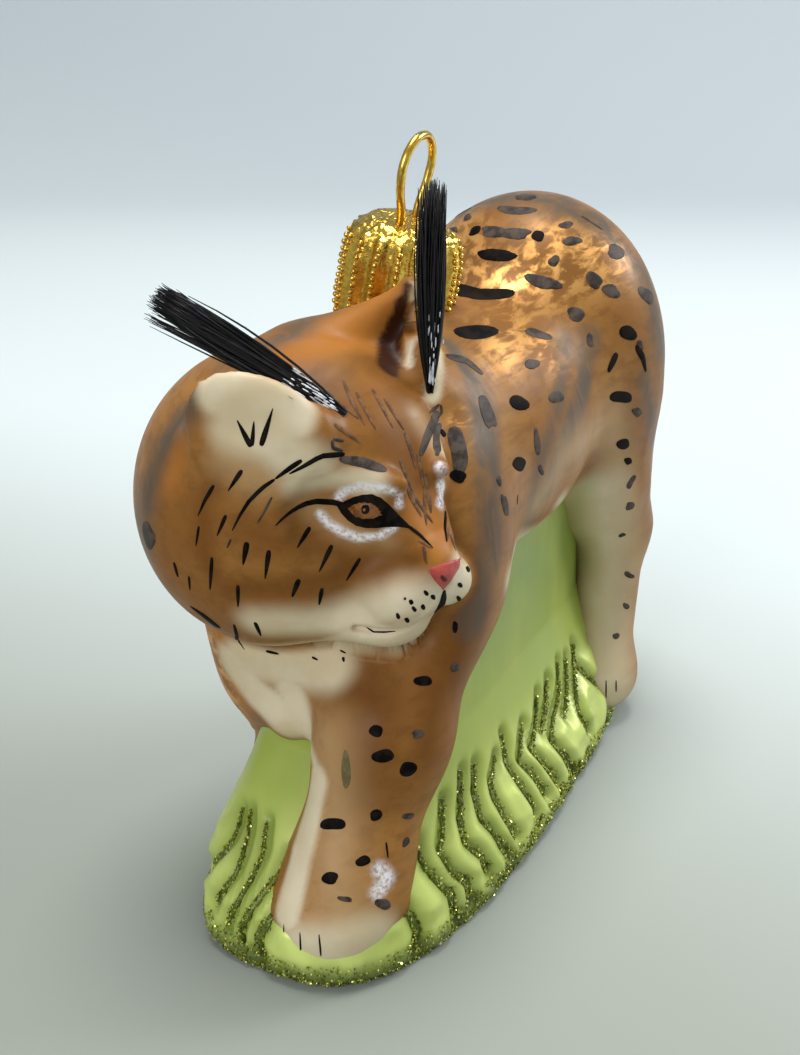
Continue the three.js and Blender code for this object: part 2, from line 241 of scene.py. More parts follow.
# Masses of the body: centres and radii
bodyForms = {
    "chest": ((-1.6, -17, 43), (14.2, 15, 20)),
    "breast": ((-2.6, -24, 36), (12.4, 10, 16)),
    "withers": ((-2, -8, 51.5), (14, 13, 13.5)),
    "underCap": ((-5, -6, 57), (10, 10, 8.2)),
    "belly": ((0.7, 4, 49.2), (15.3, 20, 16)),
    "rump": ((0.5, 25, 55.5), (18.5, 17.5, 20.5)),
    "leftShoulder": ((7.4, -19.5, 43.5), (7, 7.6, 13)),
    "rightShoulder": ((-12, -23.5, 33.5), (7.8, 9, 14.5)),
    "leftThigh": ((8, 27, 45), (9.5, 10.5, 16)),
    "rightThigh": ((-8, 20, 45), (9.5, 10.5, 16)),
}
neckForms = {"ruff": ((-9.2, -28, 49.2), (15, 15.2, 16.8)), "nape": ((-6, -17, 53), (13, 12, 12))}


def torsoField(p):
    return blended(7, *[ball(p, *form) for form in bodyForms.values()])


def neckField(p):
    return blended(6, *[ball(p, *form) for form in neckForms.values()])


def headField(h):
    side = h * (1, -1, 1)
    value = blended(
        2.6,
        ball(h, (-2, 0, 3.5), (13, 11.6, 13.3)),
        ball(h, (-1.5, 6, -5), (9.2, 7.4, 9.6)),
        ball(side, (-1.5, 6, -5), (9.2, 7.4, 9.6)),
        rod(h, (4.5, 3, 8), (12.7, 1.8, -0.4), 4.9, 2.7),
        rod(side, (4.5, 3, 8), (12.7, 1.8, -0.4), 4.9, 2.7),
        ball(h, (10.2, 0, -5.2), (5.8, 5.6, 5.4)),
        ball(h, (12.8, 3.9, -5.9), (3.9, 3.6, 3.9)),
        ball(side, (12.2, 3.1, -5.9), (3.9, 3.5, 3.8)),
        ball(h, (15, 0, -2.8), (2, 3, 2.4)),
        ball(h, (9.8, -0.4, -10.3), (4.4, 5, 3.6)),
        ball(h, (5.4, -2.4, -10.4), (6.4, 5.4, 3.4)),
    )
    return headAxes["size"] * (value + 0.7)


# What the mould pressed into the face: sockets, eyes, brows, the dip over the muzzle, and lips
faceForms = {
    "socket": ((9.4, 9.9, 3.4), (5.4, 4.1, 4.2)),
    "eye": ((8.9, 4.3, 3.7), (2.6, 2.3, 2.3)),
    "brow": ((11.6, 3.2, 6.6), (5.4, 7.4, 8.2), 1.0, 0.9),
    "lips": [(17.2, 0, -5.2), (16, 0.2, -7.6), (14.4, 2.6, -9.0), (12.6, 4.4, -9.8), (9.2, 5.8, -10)],
    "lipWidth": 0.35,
}


def pressedFace(value, h):
    near = h * (1, -1, 1)
    near[:, 1] = np.abs(near[:, 1])
    value = carved(value, ball(near, *faceForms["socket"]), 2)
    value = blended(1.4, value, rod(near, *faceForms["brow"]))
    value = blended(0.8, value, ball(near, *faceForms["eye"]))
    lips = faceForms["lips"]
    for start, end in zip(lips, lips[1:]):
        value = carved(value, rod(near, start, end, faceForms["lipWidth"], faceForms["lipWidth"]), 0.6)
    return value


# Ears: the far one a cupped hump with a sharp tip, the near one a plate whose face is turned to the front
def leftEar(h):
    value = blended(
        1.8,
        rod(h, (3.6, 9.6, 11), (-1, 11.2, 22), 2.4, 0.45),
        rod(h, (-7.5, 10, 9.5), (-1.2, 11.4, 21.8), 3.4, 0.5),
        rod(h, (-8.5, 4, 12.6), (-1.2, 10.8, 21.8), 4.2, 0.5),
        rod(h, (-8.5, 4, 12.6), (3, 9, 10.6), 3.6, 2.4),
    )
    value = carved(value, ball(h, (3.6, 16.6, 16), (5.6, 5, 8)), 0.8)
    value = carved(value, ball(h, (2.6, 5.2, 18.6), (3.4, 3.4, 5.4)), 1.2)
    return headAxes["size"] * value


plate = {
    "centre": (0.2, -12.3, 12.2),
    "radii": (7.2, 4.8, 1.5),
    "along": (-0.785, -0.573, 0.237),
    "up": (0.19, 0.14, 0.97),
}


def rightEar(h):
    along, up = np.array(plate["along"]), np.array(plate["up"])
    away = h - np.array(plate["centre"])
    flat = np.stack([away @ along, away @ up, away @ np.cross(along, up)], axis=1)
    value = blended(
        2,
        ball(flat, (0, 0, 0), plate["radii"]),
        rod(h, (-8.5, -6, 8.5), (-3, -10.8, 11.5), 4, 1.7),
        rod(h, (3.5, -7.8, 10.5), (1, -11.2, 12), 3.4, 1.8),
    )
    value = carved(value, ball(flat, (0.2, 0, -6.9), (5.6, 4, 5.6)), 1.4)
    return headAxes["size"] * value


legForms = {
    "frontLeft": {
        "joints": [(7, -22.5, 38), (6, -30.5, 24), (5, -37.5, 9), (4.2, -40, 6)],
        "radii": (7.4, 7, 6.4),
        "paw": (7, 6.4, 4.6),
    },
    "frontRight": {
        "joints": [(-11.5, -22, 33), (-11, -22, 22), (-12, -20, 9), (-13, -22, 5.5)],
        "radii": (8, 6, 4.6),
        "paw": (5.4, 7, 4),
    },
    "hindLeft": {
        "joints": [(8, 27, 46), (11.2, 27, 35), (13, 30.4, 28), (14.4, 24, 6.2)],
        "radii": (9.5, 6.8, 5),
        "paw": (5, 6.4, 4.8),
    },
    "hindRight": {
        "joints": [(-8, 20, 46), (-11, 12, 30), (-12.5, 15, 18), (-13, 10, 6)],
        "radii": (9.5, 7, 4.8),
        "paw": (5, 7, 4.4),
    },
}


def legField(p, leg):
    hip, knee, ankle, paw = leg["joints"]
    hipRadius, kneeRadius, ankleRadius = leg["radii"]
    return blended(
        4,
        rod(p, hip, knee, hipRadius, kneeRadius),
        rod(p, knee, ankle, kneeRadius, ankleRadius),
        rod(p, ankle, paw, ankleRadius, 0.9 * leg["paw"][2]),
        ball(p, paw, leg["paw"]),
    )


def frontField(p):
    h = inHead(p)
    head = blended(1.6, headField(h), leftEar(h), rightEar(h))
    return pressedFace(blended(5, head, neckField(p)), h)


smallForms = {
    "tail": ((-1, 38, 64), (-2.5, 43.5, 50), 4, 3.2),
    "bibEdge": ((-12.6, -26.3, 25), (-6, -30.6, 23), 2.6, 2.6),
    "underChin": ((9, -40.5, 37.5), (11, 11, 5)),
}


def rearField(p):
    legs = [legField(p, leg) for leg in legForms.values()]
    tail, bib = rod(p, *smallForms["tail"]), rod(p, *smallForms["bibEdge"])
    return carved(blended(4, *legs, tail, bib, torsoField(p)), ball(p, *smallForms["underChin"]), 4)


# The nape runs smoothly into the back, and the jaw and the cheeks stand clear of the chest
def glassField(p):
    front, rear = frontField(p), rearField(p)
    nape = smoothstep(p[:, 1], -25, -12) * smoothstep(p[:, 2], 44, 56)
    crease = 0.45 * np.exp(-((front - rear) / 0.9) ** 2) * (1 - smoothstep(p[:, 1], -30, -22))
    return blended(0.8 + 6 * nape, front, rear) + crease


def ontoField(points, field, rounds=4, reach=0.7):
    points = points.copy()
    step = 0.04
    for _ in range(rounds):
        value = field(points)
        slope = np.stack([(field(points + step * e) - value) / step for e in np.eye(3)], axis=1)
        size = np.maximum((slope * slope).sum(1), 0.05)
        move = -(value / size)[:, None] * slope
        far = np.linalg.norm(move, axis=1)
        points += move * np.minimum(1, reach / np.maximum(far, 1e-9))[:, None]
    return points


glassNodes = ["torso", "neck", "head", "ear_left", "ear_right", "tail"]
glassNodes += ["leg_front_left", "leg_front_right", "leg_hind_left", "leg_hind_right"]
skin = {
    "swell": 0.22,
    "roughVoxel": 1,
    "voxel": 0.53,
    "rounds": 2,
    "faceCentre": (10, 0, 0),
    "faceReach": 15,
}


def spots(data):
    places = np.empty(len(data.vertices) * 3)
    data.vertices.foreach_get("co", places)
    return places.reshape(-1, 3) / mm


def moveTo(data, points):
    data.vertices.foreach_set("co", (points * mm).ravel())
    data.update()


def evened(points, edges, amount):
    total = np.zeros_like(points)
    count = np.bincount(edges.ravel(), minlength=len(points))[:, None]
    for i, j in ((0, 1), (1, 0)):
        for axis in range(3):
            total[:, axis] += np.bincount(edges[:, i], points[edges[:, j], axis], len(points))
    return points + amount * (total / np.maximum(count, 1) - points)


def laidOnField(data, rounds):
    edges = np.empty(len(data.edges) * 2, int)
    data.edges.foreach_get("vertices", edges)
    edges = edges.reshape(-1, 2)
    points = spots(data)
    for _ in range(rounds):
        points = ontoField(evened(points, edges, 0.5), glassField, 2)
    moveTo(data, ontoField(points, glassField, 3))


def remeshed(data, voxel):
    holder = bpy.data.objects.new("holder", data)
    bpy.context.scene.collection.objects.link(holder)
    remesh = holder.modifiers.new("oneSkin", "REMESH")
    remesh.mode = "VOXEL"
    remesh.voxel_size = voxel * mm
    result = bpy.data.meshes.new_from_object(holder.evaluated_get(bpy.context.evaluated_depsgraph_get()))
    bpy.data.objects.remove(holder)
    return result


# The nodes of the animal are swollen past their seams, made one closed skin, and laid on the smooth form.
# The skin is remeshed there once more, so that its faces are even.
def makeSkin():
    shape = bmesh.new()
    for name in glassNodes:
        shape.from_mesh(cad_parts[name].data)
    bmesh.ops.remove_doubles(shape, verts=shape.verts, dist=0.01 * mm)
    shape.normal_update()
    for v in shape.verts:
        v.co += v.normal * skin["swell"] * mm
    data = remeshed(meshOf("swollen", shape), skin["roughVoxel"])
    laidOnField(data, 1)
    data = remeshed(data, skin["voxel"])
    laidOnField(data, skin["rounds"])
    # The face gets a finer mesh for its small forms
    shape = bmesh.new()
    shape.from_mesh(data)
    away = np.linalg.norm(inHead(spots(data)) - skin["faceCentre"], axis=1)
    near = set(np.nonzero(away < skin["faceReach"])[0].tolist())
    shape.verts.ensure_lookup_table()
    edges = [e for e in shape.edges if e.verts[0].index in near and e.verts[1].index in near]
    bmesh.ops.subdivide_edges(shape, edges=edges, cuts=1, use_grid_fill=True)
    shape.to_mesh(data)
    shape.free()
    laidOnField(data, 1)
    return data


skinData = makeSkin()
print("glass skin made:", len(skinData.vertices), "points")


# Places on a surface: seen through a pixel of the photograph, or nearest to a point
def treeOf(data):
    return BVHTree.FromPolygons([v.co for v in data.vertices], [p.vertices for p in data.polygons])


def seen(tree, x, y):
    start, ray = sight(x, y)
    place = tree.ray_cast(start * mm, ray)[0]
    if place is None:
        tries = [tree.find_nearest((start + ray * far) * mm) for far in range(100, 220, 4)]
        place = min(tries, key=lambda found: found[3])[0]
    return np.array(place) / mm


def seenPath(tree, pixels, step=6):
    places = [seen(tree, *pixels[0])]
    for (x1, y1), (x2, y2) in zip(pixels, pixels[1:]):
        parts = max(1, round(math.hypot(x2 - x1, y2 - y1) / step))
        for i in range(1, parts + 1):
            places.append(seen(tree, x1 + (x2 - x1) * i / parts, y1 + (y2 - y1) * i / parts))
    return np.array(places)


def acrossHead(points):
    return outOfHead(inHead(points) * (1, -1, 1))


def acrossBody(points):
    return (np.asarray(points) - (0.5, 0, 0)) * (-1, 1, 1) + (0.5, 0, 0)


skinTree = treeOf(skinData)

# Sprayed zones, and zones of painted shade and painted highlight, each a soft band along a path: the side of the
# jaw's crease it stays on, its radius and softness in mm, and which way it is mirrored
zones = {
    "cream": [
        ("front", [(226, 390), (252, 404), (284, 416)], 3.1, 0.9, None),
        ("front", [(234, 428), (268, 440), (312, 468)], 2.4, 1.5, None),
        ("front", [(298, 484), (330, 480), (372, 484)], 1.4, 1.2, acrossHead),
        ("front", [(452, 606), (430, 600), (405, 603), (365, 616), (310, 624), (262, 624)], 2.3, 1.9, acrossHead),
        ("front", [(430, 628), (385, 640), (320, 645), (262, 648)], 3.0, 1.4, acrossHead),
        ("front", [(460, 570), (466, 592)], 2.0, 1.0, None),
        ("front", [(414, 284), (411, 325), (409, 365)], 0.4, 0.3, None),
        ("front", [(438, 330), (437, 365), (433, 396)], 0.9, 0.5, None),
        ("rear", [(232, 664), (258, 695), (290, 724)], 2.6, 1.0, None),
        ("rear", [(245, 660), (290, 668), (328, 664)], 3.0, 1.5, None),
        ("rear", [(290, 690), (306, 728)], 2.2, 1.2, None),
        ("rear", [(308, 738), (318, 775)], 0.8, 0.8, None),
        ("rear", [(317, 780), (310, 815), (299, 860), (286, 915)], 1.9, 0.6, None),
        ("rear", [(290, 948), (330, 954), (372, 940)], 3.2, 1.8, None),
        ("rear", [(596, 500), (600, 560), (604, 640), (612, 700)], 4.2, 3.8, acrossBody),
        ("rear", [(560, 500), (535, 540), (508, 580)], 1.1, 1.5, acrossBody),
        ("rear", [(240, 770), (241, 810)], 4, 2, None),
    ],
    "brown": [
        ("front", [(222, 468), (203, 505), (203, 548), (216, 580)], 0.9, 2.0, acrossHead),
        ("front", [(228, 588), (285, 588), (335, 576), (398, 552)], 1.2, 2.2, acrossHead),
        ("front", [(245, 530), (290, 548), (340, 552)], 1.0, 3.2, acrossHead),
        ("front", [(320, 380), (380, 425), (415, 480)], 1.4, 4.2, acrossHead),
        ("front", [(392, 552), (415, 560)], 0.8, 1.6, acrossHead),
        # painted shadow: the chest under the muzzle and the top of the leg below it, where the head overhangs them
        ("rear", [(340, 680), (372, 700), (360, 790)], 3.2, 3.6, None),
        ("rear", [(455, 560), (470, 610), (455, 680)], 2.6, 3, acrossBody),
        ("rear", [(440, 690), (425, 750)], 1.8, 2.6, None),
    ],
    "grey": [
        ("front", [(196, 395), (160, 450), (140, 520), (150, 590)], 2.0, 2.0, None),
        ("front", [(228, 366), (290, 335), (330, 298)], 1.4, 2.2, None),
        ("rear", [(455, 192), (530, 193), (602, 222), (648, 280), (662, 340)], 3.0, 2.8, acrossBody),
        ("rear", [(448, 350), (482, 400), (490, 470), (492, 550), (474, 620)], 2.4, 1.4, acrossBody),
        ("rear", [(590, 338), (583, 390), (566, 440), (546, 490)], 1.9, 1.2, acrossBody),
        ("rear", [(566, 340), (560, 400), (540, 470), (525, 530)], 1.2, 2.4, acrossBody),
        ("rear", [(645, 380), (655, 440)], 1.2, 1.6, acrossBody),
        ("rear", [(150, 560), (170, 610)], 1.5, 1.5, None),
    ],
    # painted highlight: the gold bands lie where the flank, shoulder and chest catch the light, over silvering that
    # glows through the paint
    "gold": [
        ("rear", [(500, 290), (560, 262), (600, 246)], 4.2, 4.6, acrossBody),
        ("rear", [(495, 345), (520, 325), (545, 350)], 2.6, 4.2, acrossBody),
        ("rear", [(448, 400), (462, 425)], 1.4, 1.4, None),
        ("rear", [(212, 640), (236, 710)], 1.2, 1.6, None),
    ],
    "orange": [
        ("front", [(290, 352), (345, 335), (392, 312)], 3.0, 1.8, None),
        ("rear", [(205, 625), (240, 715)], 2.4, 1.6, None),
        ("front", [(222, 372), (188, 420), (168, 480)], 1.2, 2.0, None),
        ("front", [(425, 500), (446, 545)], 1.4, 2.4, acrossHead),
    ],
    "pale": [
        ("rear", [(330, 740), (336, 800), (330, 860), (340, 905)], 2.8, 3.8, None),
        ("front", [(300, 500), (350, 530), (385, 540)], 0.9, 2, acrossHead),
        ("front", [(225, 460), (260, 480), (300, 480)], 1.6, 2.0, acrossHead),
        # painted highlight along the lit far edge of the face, over a pale blotch of paint
        ("front", [(420, 420), (448, 460), (452, 520)], 1.2, 1.8, None),
        ("rear", [(612, 420), (622, 480), (634, 560)], 2.6, 3.0, acrossBody),
        ("rear", [(540, 500), (565, 455), (600, 430)], 2.0, 3.0, acrossBody),
    ],
    "white": [
        ("front", [(338, 498), (345, 490), (360, 486), (382, 488), (402, 495), (399, 504)], 0.42, 0.4, acrossHead),
        ("front", [(320, 514), (328, 523), (342, 532), (360, 538), (380, 536), (394, 526)], 0.4, 0.36, acrossHead),
        ("front", [(440, 466), (443, 486), (440, 504)], 0.5, 0.45, None),
        ("rear", [(380, 870), (388, 878), (378, 892)], 0.8, 0.7, None),
    ],
    # painted shade: the hollow of the far ear, darkened where its concave face is turned from the light
    "earHollowShade": [
        ("front", [(408, 284), (404, 300)], 0.4, 0.3, None),
        ("front", [(402, 302), (397, 318)], 0.75, 0.3, None),
        ("front", [(396, 322), (392, 340)], 1.1, 0.3, None),
        ("front", [(390, 342), (388, 369)], 1.35, 0.35, None),
    ],
    "moss": [("rear", [(580, 490), (570, 520), (582, 560)], 1.6, 2.6, acrossBody)],
}


def makeZones():
    points = spots(skinData)
    ahead = rearField(points) - frontField(points)
    for name, bands in zones.items():
        mask = np.zeros(len(points))
        for side, pixels, radius, soft, mirror in bands:
            path = seenPath(skinTree, pixels, 14)
            allowed = smoothstep(ahead if side == "front" else -ahead, 0.2, 1.2)
            for line in (path, mirror(path) if mirror else None):
                if line is None:
                    continue
                away = np.min([rod(points, a, b, 0, 0) for a, b in zip(line, line[1:])], axis=0)
                mask = np.maximum(mask, allowed * (1 - smoothstep(away, radius - soft, radius + soft)))
        skinData.attributes.new(name, "FLOAT", "POINT").data.foreach_set("value", mask)


makeZones()
print("paint zones made")


# Sprayed and brushed paint over silvered glass, which glows through on the flanks; the bright gold there is also a
# painted highlight, and the far ear's hollow holds painted shade
coat = {
    "tan": ((0.25, 0.1, 0.018), (0.34, 0.155, 0.036)),
    "strokes": (0.17, 0.068, 0.012),
    "orange": (0.43, 0.155, 0.02),
    # the bright end of the gold is the colour of a painted highlight
    "gold": ((0.25, 0.105, 0.022), (0.8, 0.42, 0.13)),
    "brown": (0.15, 0.05, 0.004),
    "grey": (0.1, 0.074, 0.052),
    "pale": (0.5, 0.33, 0.16),
    "cream": ((0.6, 0.49, 0.31), (0.7, 0.6, 0.43)),
    "moss": (0.33, 0.36, 0.1),
    # painted shade in the far ear's hollow
    "earHollowShade": (0.035, 0.008, 0.001),
    "white": (0.8, 0.8, 0.84),
    "gloss": 0.18,
}


def makeGlassMaterial():
    material, tree, shader = newMaterial("paintedGlass")
    streaks = objectNoise(tree, 560, 4, 0.6, (1, 0.3, 1.2), 0.35, -38)
    downward = objectNoise(tree, 330, 5, 0.62, (1, 0.9, 0.16), 0.8)
    clouds = objectNoise(tree, 60, 4, 0.55)
    patches = objectNoise(tree, 150, 3, 0.5, (1, 0.5, 1))
    dry = ramp(tree, objectNoise(tree, 2600, 3, 0.6), 0.36, 0.56, 0.35, 1)
    zone = {name: attribute(tree, name) for name in zones}
    colour = mixed(tree, ramp(tree, clouds, 0.36, 0.66), *coat["tan"])
    colour = mixed(tree, ramp(tree, streaks, 0.4, 0.7, 0, 0.55), colour, coat["strokes"])
    # gold of the silvering, brightened into a painted highlight
    goldGlowAndHighlight = mixed(tree, ramp(tree, streaks, 0.58, 0.4), *coat["gold"])
    creamy = mixed(tree, ramp(tree, patches, 0.35, 0.7), *coat["cream"])
    washed = times(tree, zone["grey"], ramp(tree, downward, 0.36, 0.58, 0.6, 1))
    layers = [
        (times(tree, zone["orange"], 0.8), coat["orange"]),
        (times(tree, zone["gold"], 0.95), goldGlowAndHighlight),
        (times(tree, zone["brown"], 0.9), coat["brown"]),
        (times(tree, washed, 0.95), coat["grey"]),
        (times(tree, zone["pale"], 0.62), coat["pale"]),
        (zone["cream"], creamy),
        (times(tree, zone["moss"], 0.55), coat["moss"]),
        # painted shade over the far ear's hollow
        (zone["earHollowShade"], coat["earHollowShade"]),
        (times(tree, zone["white"], dry), coat["white"]),
    ]
    feed(tree, shader, {
        "Base Color": layered(tree, colour, layers),
        "Metallic": times(tree, zone["gold"], ramp(tree, streaks, 0.62, 0.38, 0.2, 0.8)),
        "Roughness": ramp(tree, downward, 0.3, 0.7, 0.36, 0.5),
        "Specular IOR Level": coat["gloss"],
    })
    bumped(tree, shader, downward, 0.25, 0.12)
    return material


dressed("glassBody", skinData, makeGlassMaterial(), replacing=glassNodes)
print("glass body dressed")


# One closed shape, copied once for each list of places
def copied(form, places):
    holder = bpy.data.objects.new("holder", form)
    bpy.context.scene.collection.objects.link(holder)
    array = holder.modifiers.new("copies", "ARRAY")
    array.count = len(places)
    array.use_relative_offset = False
    data = bpy.data.meshes.new_from_object(holder.evaluated_get(bpy.context.evaluated_depsgraph_get()))
    bpy.data.objects.remove(holder)
    moveTo(data, np.concatenate(places))
    return data


def template(name, shape):
    data = meshOf(name, shape)
    return data, spots(data) * mm


def pebble(across, along):
    shape = bmesh.new()
    bmesh.ops.create_uvsphere(shape, u_segments=across, v_segments=along, radius=1)
    return template("pebble", shape)


def finishedCopies(name, form, places, material):
    shape = bmesh.new()
    shape.from_mesh(copied(form, places))
    finished(name, shape, material)


def lengthsAlong(path):
    return np.concatenate([[0], np.cumsum(np.linalg.norm(np.diff(path, axis=0), axis=1))])


# Painted marks: flat closed shapes that follow the glass, their lower half sunk in it
ovalCorners = 36
markShape, markRound = pebble(16, 14)
markTurn = np.arctan2(markRound[:, 1], markRound[:, 0]) % (2 * math.pi)
markReach = np.hypot(markRound[:, 0], markRound[:, 1])


def settled(tree, points, heights):
    result = np.empty_like(points)
    for i, (point, height) in enumerate(zip(points, heights)):
        place, normal, _, _ = tree.find_nearest(Vector(point) * mm)
        result[i] = np.array(place) / mm + np.array(normal) * height
    return result


def pixelSize(place):
    return np.linalg.norm(place - photo["place"]) / photo["focal"]


# A rounded ridge along a path of places, its widths in millimetres
def ridge(tree, path, startWidth, endWidth, thick, form):
    lengths = lengthsAlong(path)
    share = (form[:, 2] + 1) / 2
    where = share * lengths[-1]
    base, ahead, behind = (
        np.stack([np.interp(where + shift, lengths, path[:, i]) for i in range(3)], axis=1)
        for shift in (0, 0.4, -0.4)
    )
    normals = np.array([tree.find_nearest(Vector(point) * mm)[1] for point in base])
    across = np.cross(ahead - behind, normals)
    across /= np.maximum(np.linalg.norm(across, axis=1), 1e-9)[:, None]
    width = (startWidth + (endWidth - startWidth) * share) / 2
    # The ends are blunter than a ball's
    full = np.maximum(np.hypot(form[:, 0], form[:, 1]), 0.05) ** -0.4
    return base + across * (width * full * form[:, 0])[:, None], form[:, 1] * thick


def brushed(tree, pixels, startWidth, endWidth, thick):
    path = seenPath(tree, pixels, 4)
    size = 1.15 * pixelSize(path[0])
    return ridge(tree, path, startWidth * size, endWidth * size, thick, markRound)


# A mark filled inside an outline of pixels, listed around from the left. Where the glass turns away from
# the camera it is laid on the plane that touches the glass at its middle.
def filled(tree, outline, thick):
    outline = np.array(outline, float)
    middle = (outline.min(axis=0) + outline.max(axis=0)) / 2
    corners = np.linspace(0, 2 * math.pi, len(outline), endpoint=False)
    rim = np.stack([np.interp(markTurn, corners, outline[:, i], period=2 * math.pi) for i in range(2)], axis=1)
    pixels = middle + (rim - middle) * markReach[:, None]
    centre = seen(tree, *middle)
    normal = np.array(tree.find_nearest(Vector(centre) * mm)[1])
    facing = -normal @ np.array(sight(*middle)[1])
    base = []
    for pixel in pixels:
        start, ray = (np.array(v) for v in sight(*pixel))
        if facing > 0.4:
            base.append(seen(tree, *pixel))
        else:
            base.append(start + ray * ((centre - start) @ normal / min(ray @ normal, -0.3)))
    return np.array(base), markRound[:, 2] * thick


# A spot laid on the glass nearest to a place
def laid(tree, x, y, z, length, width, angle):
    centre, normal, _, _ = tree.find_nearest(Vector((x, y, z)) * mm)
    along = normal.orthogonal().normalized()
    along.rotate(Matrix.Rotation(math.radians(angle), 3, normal))
    u, v = along * length / 2, normal.cross(along) * width / 2
    base = np.array(centre) / mm + markRound[:, :1] * np.array(u) + markRound[:, 1:2] * np.array(v)
    return base, markRound[:, 2] * markKinds["greySpots"][0]


def oval(x, y, length, width, angle, rough=0.1):
    draw = random.Random(round(x) * 3 + round(y))
    phases = [draw.uniform(0, 2 * math.pi) for _ in range(3)]
    tilt = math.radians(angle)
    result = []
    for turn in np.linspace(0, 2 * math.pi, ovalCorners, endpoint=False):
        wobble = 1 + rough * sum(math.sin((k + 2) * turn + phases[k]) / (k + 1) for k in range(3))
        u = length / 2 * wobble * math.copysign(abs(math.cos(turn)) ** 0.88, math.cos(turn))
        v = width / 2 * wobble * math.copysign(abs(math.sin(turn)) ** 0.88, math.sin(turn))
        result.append((x + u * math.cos(tilt) - v * math.sin(tilt), y + u * math.sin(tilt) + v * math.cos(tilt)))
    return result


# Each kind of mark: how far it stands out in millimetres, and the box of pixels, left, right, top and bottom,
# whose marks are repeated on the side that the photograph doesn't show
markKinds = {
    "blackSpots": (0.07, (440, 800, 0, 500), acrossBody),
    "greySpots": (0.06, (440, 800, 0, 640), acrossBody),
    "blackStrokes": (0.09, (0, 440, 450, 660), acrossHead),
    "greyStrokes": (0.06, (0, 400, 430, 1055), acrossHead),
    "faintStrokes": (0.05, (0, 800, 450, 1055), acrossHead),
}
markLift = 0.03
mirrorGap = {acrossHead: 0.9, acrossBody: 2.5}  # a repeated mark that lands further off the glass is left out


def mirrorOf(kind, x, y):
    _, (left, right, top, bottom), mirror = markKinds[kind]
    return mirror if left < x < right and top < y < bottom else None


def spotsOf(kind, places, rough=0.1):
    return [(filled(skinTree, oval(*place, rough=rough), markKinds[kind][0]), mirrorOf(kind, *place[:2]))
            for place in places]


def strokesOf(kind, strokes):
    return [(brushed(skinTree, path, start, end, markKinds[kind][0]), mirrorOf(kind, *path[0]))
            for path, start, end in strokes]


def makeMarks(name, marks, material):
    places = []
    for (points, heights), mirror in marks:
        places.append(settled(skinTree, points, heights + markLift))
        if mirror:
            there = mirror(points)
            flat = settled(skinTree, there, 0 * heights)
            if np.linalg.norm(flat - there, axis=1).max() < mirrorGap[mirror]:
                places.append(settled(skinTree, there, heights + markLift))
    finishedCopies(name, markShape, places, material)


# Spots in pixels: x, y, length, width, angle
blackSpots = [
    (495, 255, 38, 11, 3), (489, 294, 50, 12, -3), (476, 332, 44, 14, 3), (628, 333, 17, 15, 20),
    (621, 397, 21, 13, 4), (623, 444, 14, 10, -30), (519, 403, 19, 15, 25), (628, 461, 8, 7, 60),
    (538, 236, 14, 10, 10), (423, 681, 17, 11, 0), (519, 464, 14, 13, 20),
    (376, 731, 15, 11, 10), (383, 756, 21, 14, -15), (408, 769, 17, 15, 0), (333, 824, 24, 13, 0),
    (363, 861, 14, 11, -20), (330, 878, 17, 12, 5), (458, 476, 18, 12, 20), (443, 433, 8, 5, 60),
    (376, 815, 14, 10, -30), (455, 627, 6, 11, 0),
]
greySpots = [
    (495, 232, 32, 10, 4), (572, 241, 19, 9, 4), (616, 252, 20, 12, 35), (554, 261, 11, 11, 0),
    (543, 282, 34, 14, 18), (576, 314, 20, 12, 20), (538, 334, 26, 9, 22), (532, 364, 13, 11, 0),
    (637, 412, 11, 8, 60), (631, 482, 14, 6, -60), (630, 506, 9, 8, 0), (556, 397, 16, 11, 20),
    (537, 442, 24, 7, 85), (487, 412, 40, 11, 68), (458, 450, 44, 20, 80), (499, 481, 10, 5, 70),
    (505, 505, 24, 6, 82), (547, 501, 11, 5, 80), (646, 295, 20, 11, 62), (452, 208, 14, 12, 0),
    (512, 210, 26, 9, 4), (526, 197, 18, 6, 0), (597, 217, 30, 9, 22), (418, 734, 13, 8, -20),
    (408, 816, 11, 7, 0), (406, 842, 11, 6, -50), (345, 899, 13, 6, 10), (455, 667, 11, 8, 80),
    (383, 904, 14, 12, 20), (622, 535, 7, 4, -30), (629, 575, 10, 6, 20), (626, 606, 8, 5, 60),
    (616, 636, 7, 6, 30),
    (148, 536, 26, 12, 85), (566, 225, 14, 7, 0), (640, 345, 10, 6, 60), (520, 520, 12, 5, 70),
    (541, 470, 10, 5, 80), (507, 570, 12, 4, 100), (594, 280, 20, 13, 30), (611, 291, 18, 13, 10),
    (590, 340, 13, 7, 75),
]
# Spots the photograph doesn't show, in millimetres: x, y, z, length, width, turn
hiddenSpots = [
    (-14, 34, 66, 3, 2, 20), (-9, 40, 62, 2.6, 1.8, 60), (-17, 28, 58, 3, 1.8, 80), (-15, 38, 52, 2.8, 1.8, 10),
    (5, 43, 56, 3, 2, 30), (10, 40, 48, 2.6, 1.8, 70), (3, 44, 46, 2.6, 1.6, 0), (-8, 44, 48, 2.4, 1.6, 40),
    (-17, 20, 50, 2.8, 1.8, 60), (-16, 12, 56, 3.2, 1.6, 10), (-16, 4, 48, 2.6, 1.8, 30),
    (-17, 22, 40, 2.2, 1.6, 0),
    (-16, -10, 46, 2.8, 1.6, 80), (-16, -18, 38, 2.2, 1.5, 0), (-18, -24, 28, 2, 1.4, 30), (-16, 14, 32, 2, 1.4, 60),
    (-16, -4, 56, 2.8, 1.6, 0), (-13, 12, 64, 3.4, 1.5, 0), (-12, 22, 70, 3.2, 1.5, 0), (-22, -32, 48, 2.4, 1.6, 70),
    (-20, -22, 52, 2.4, 1.6, 40), (-19, -36, 42, 2, 1.4, 10), (14, 34, 30, 1.8, 1.2, 0), (-16, -26, 16, 1.8, 1.2, 0),
]
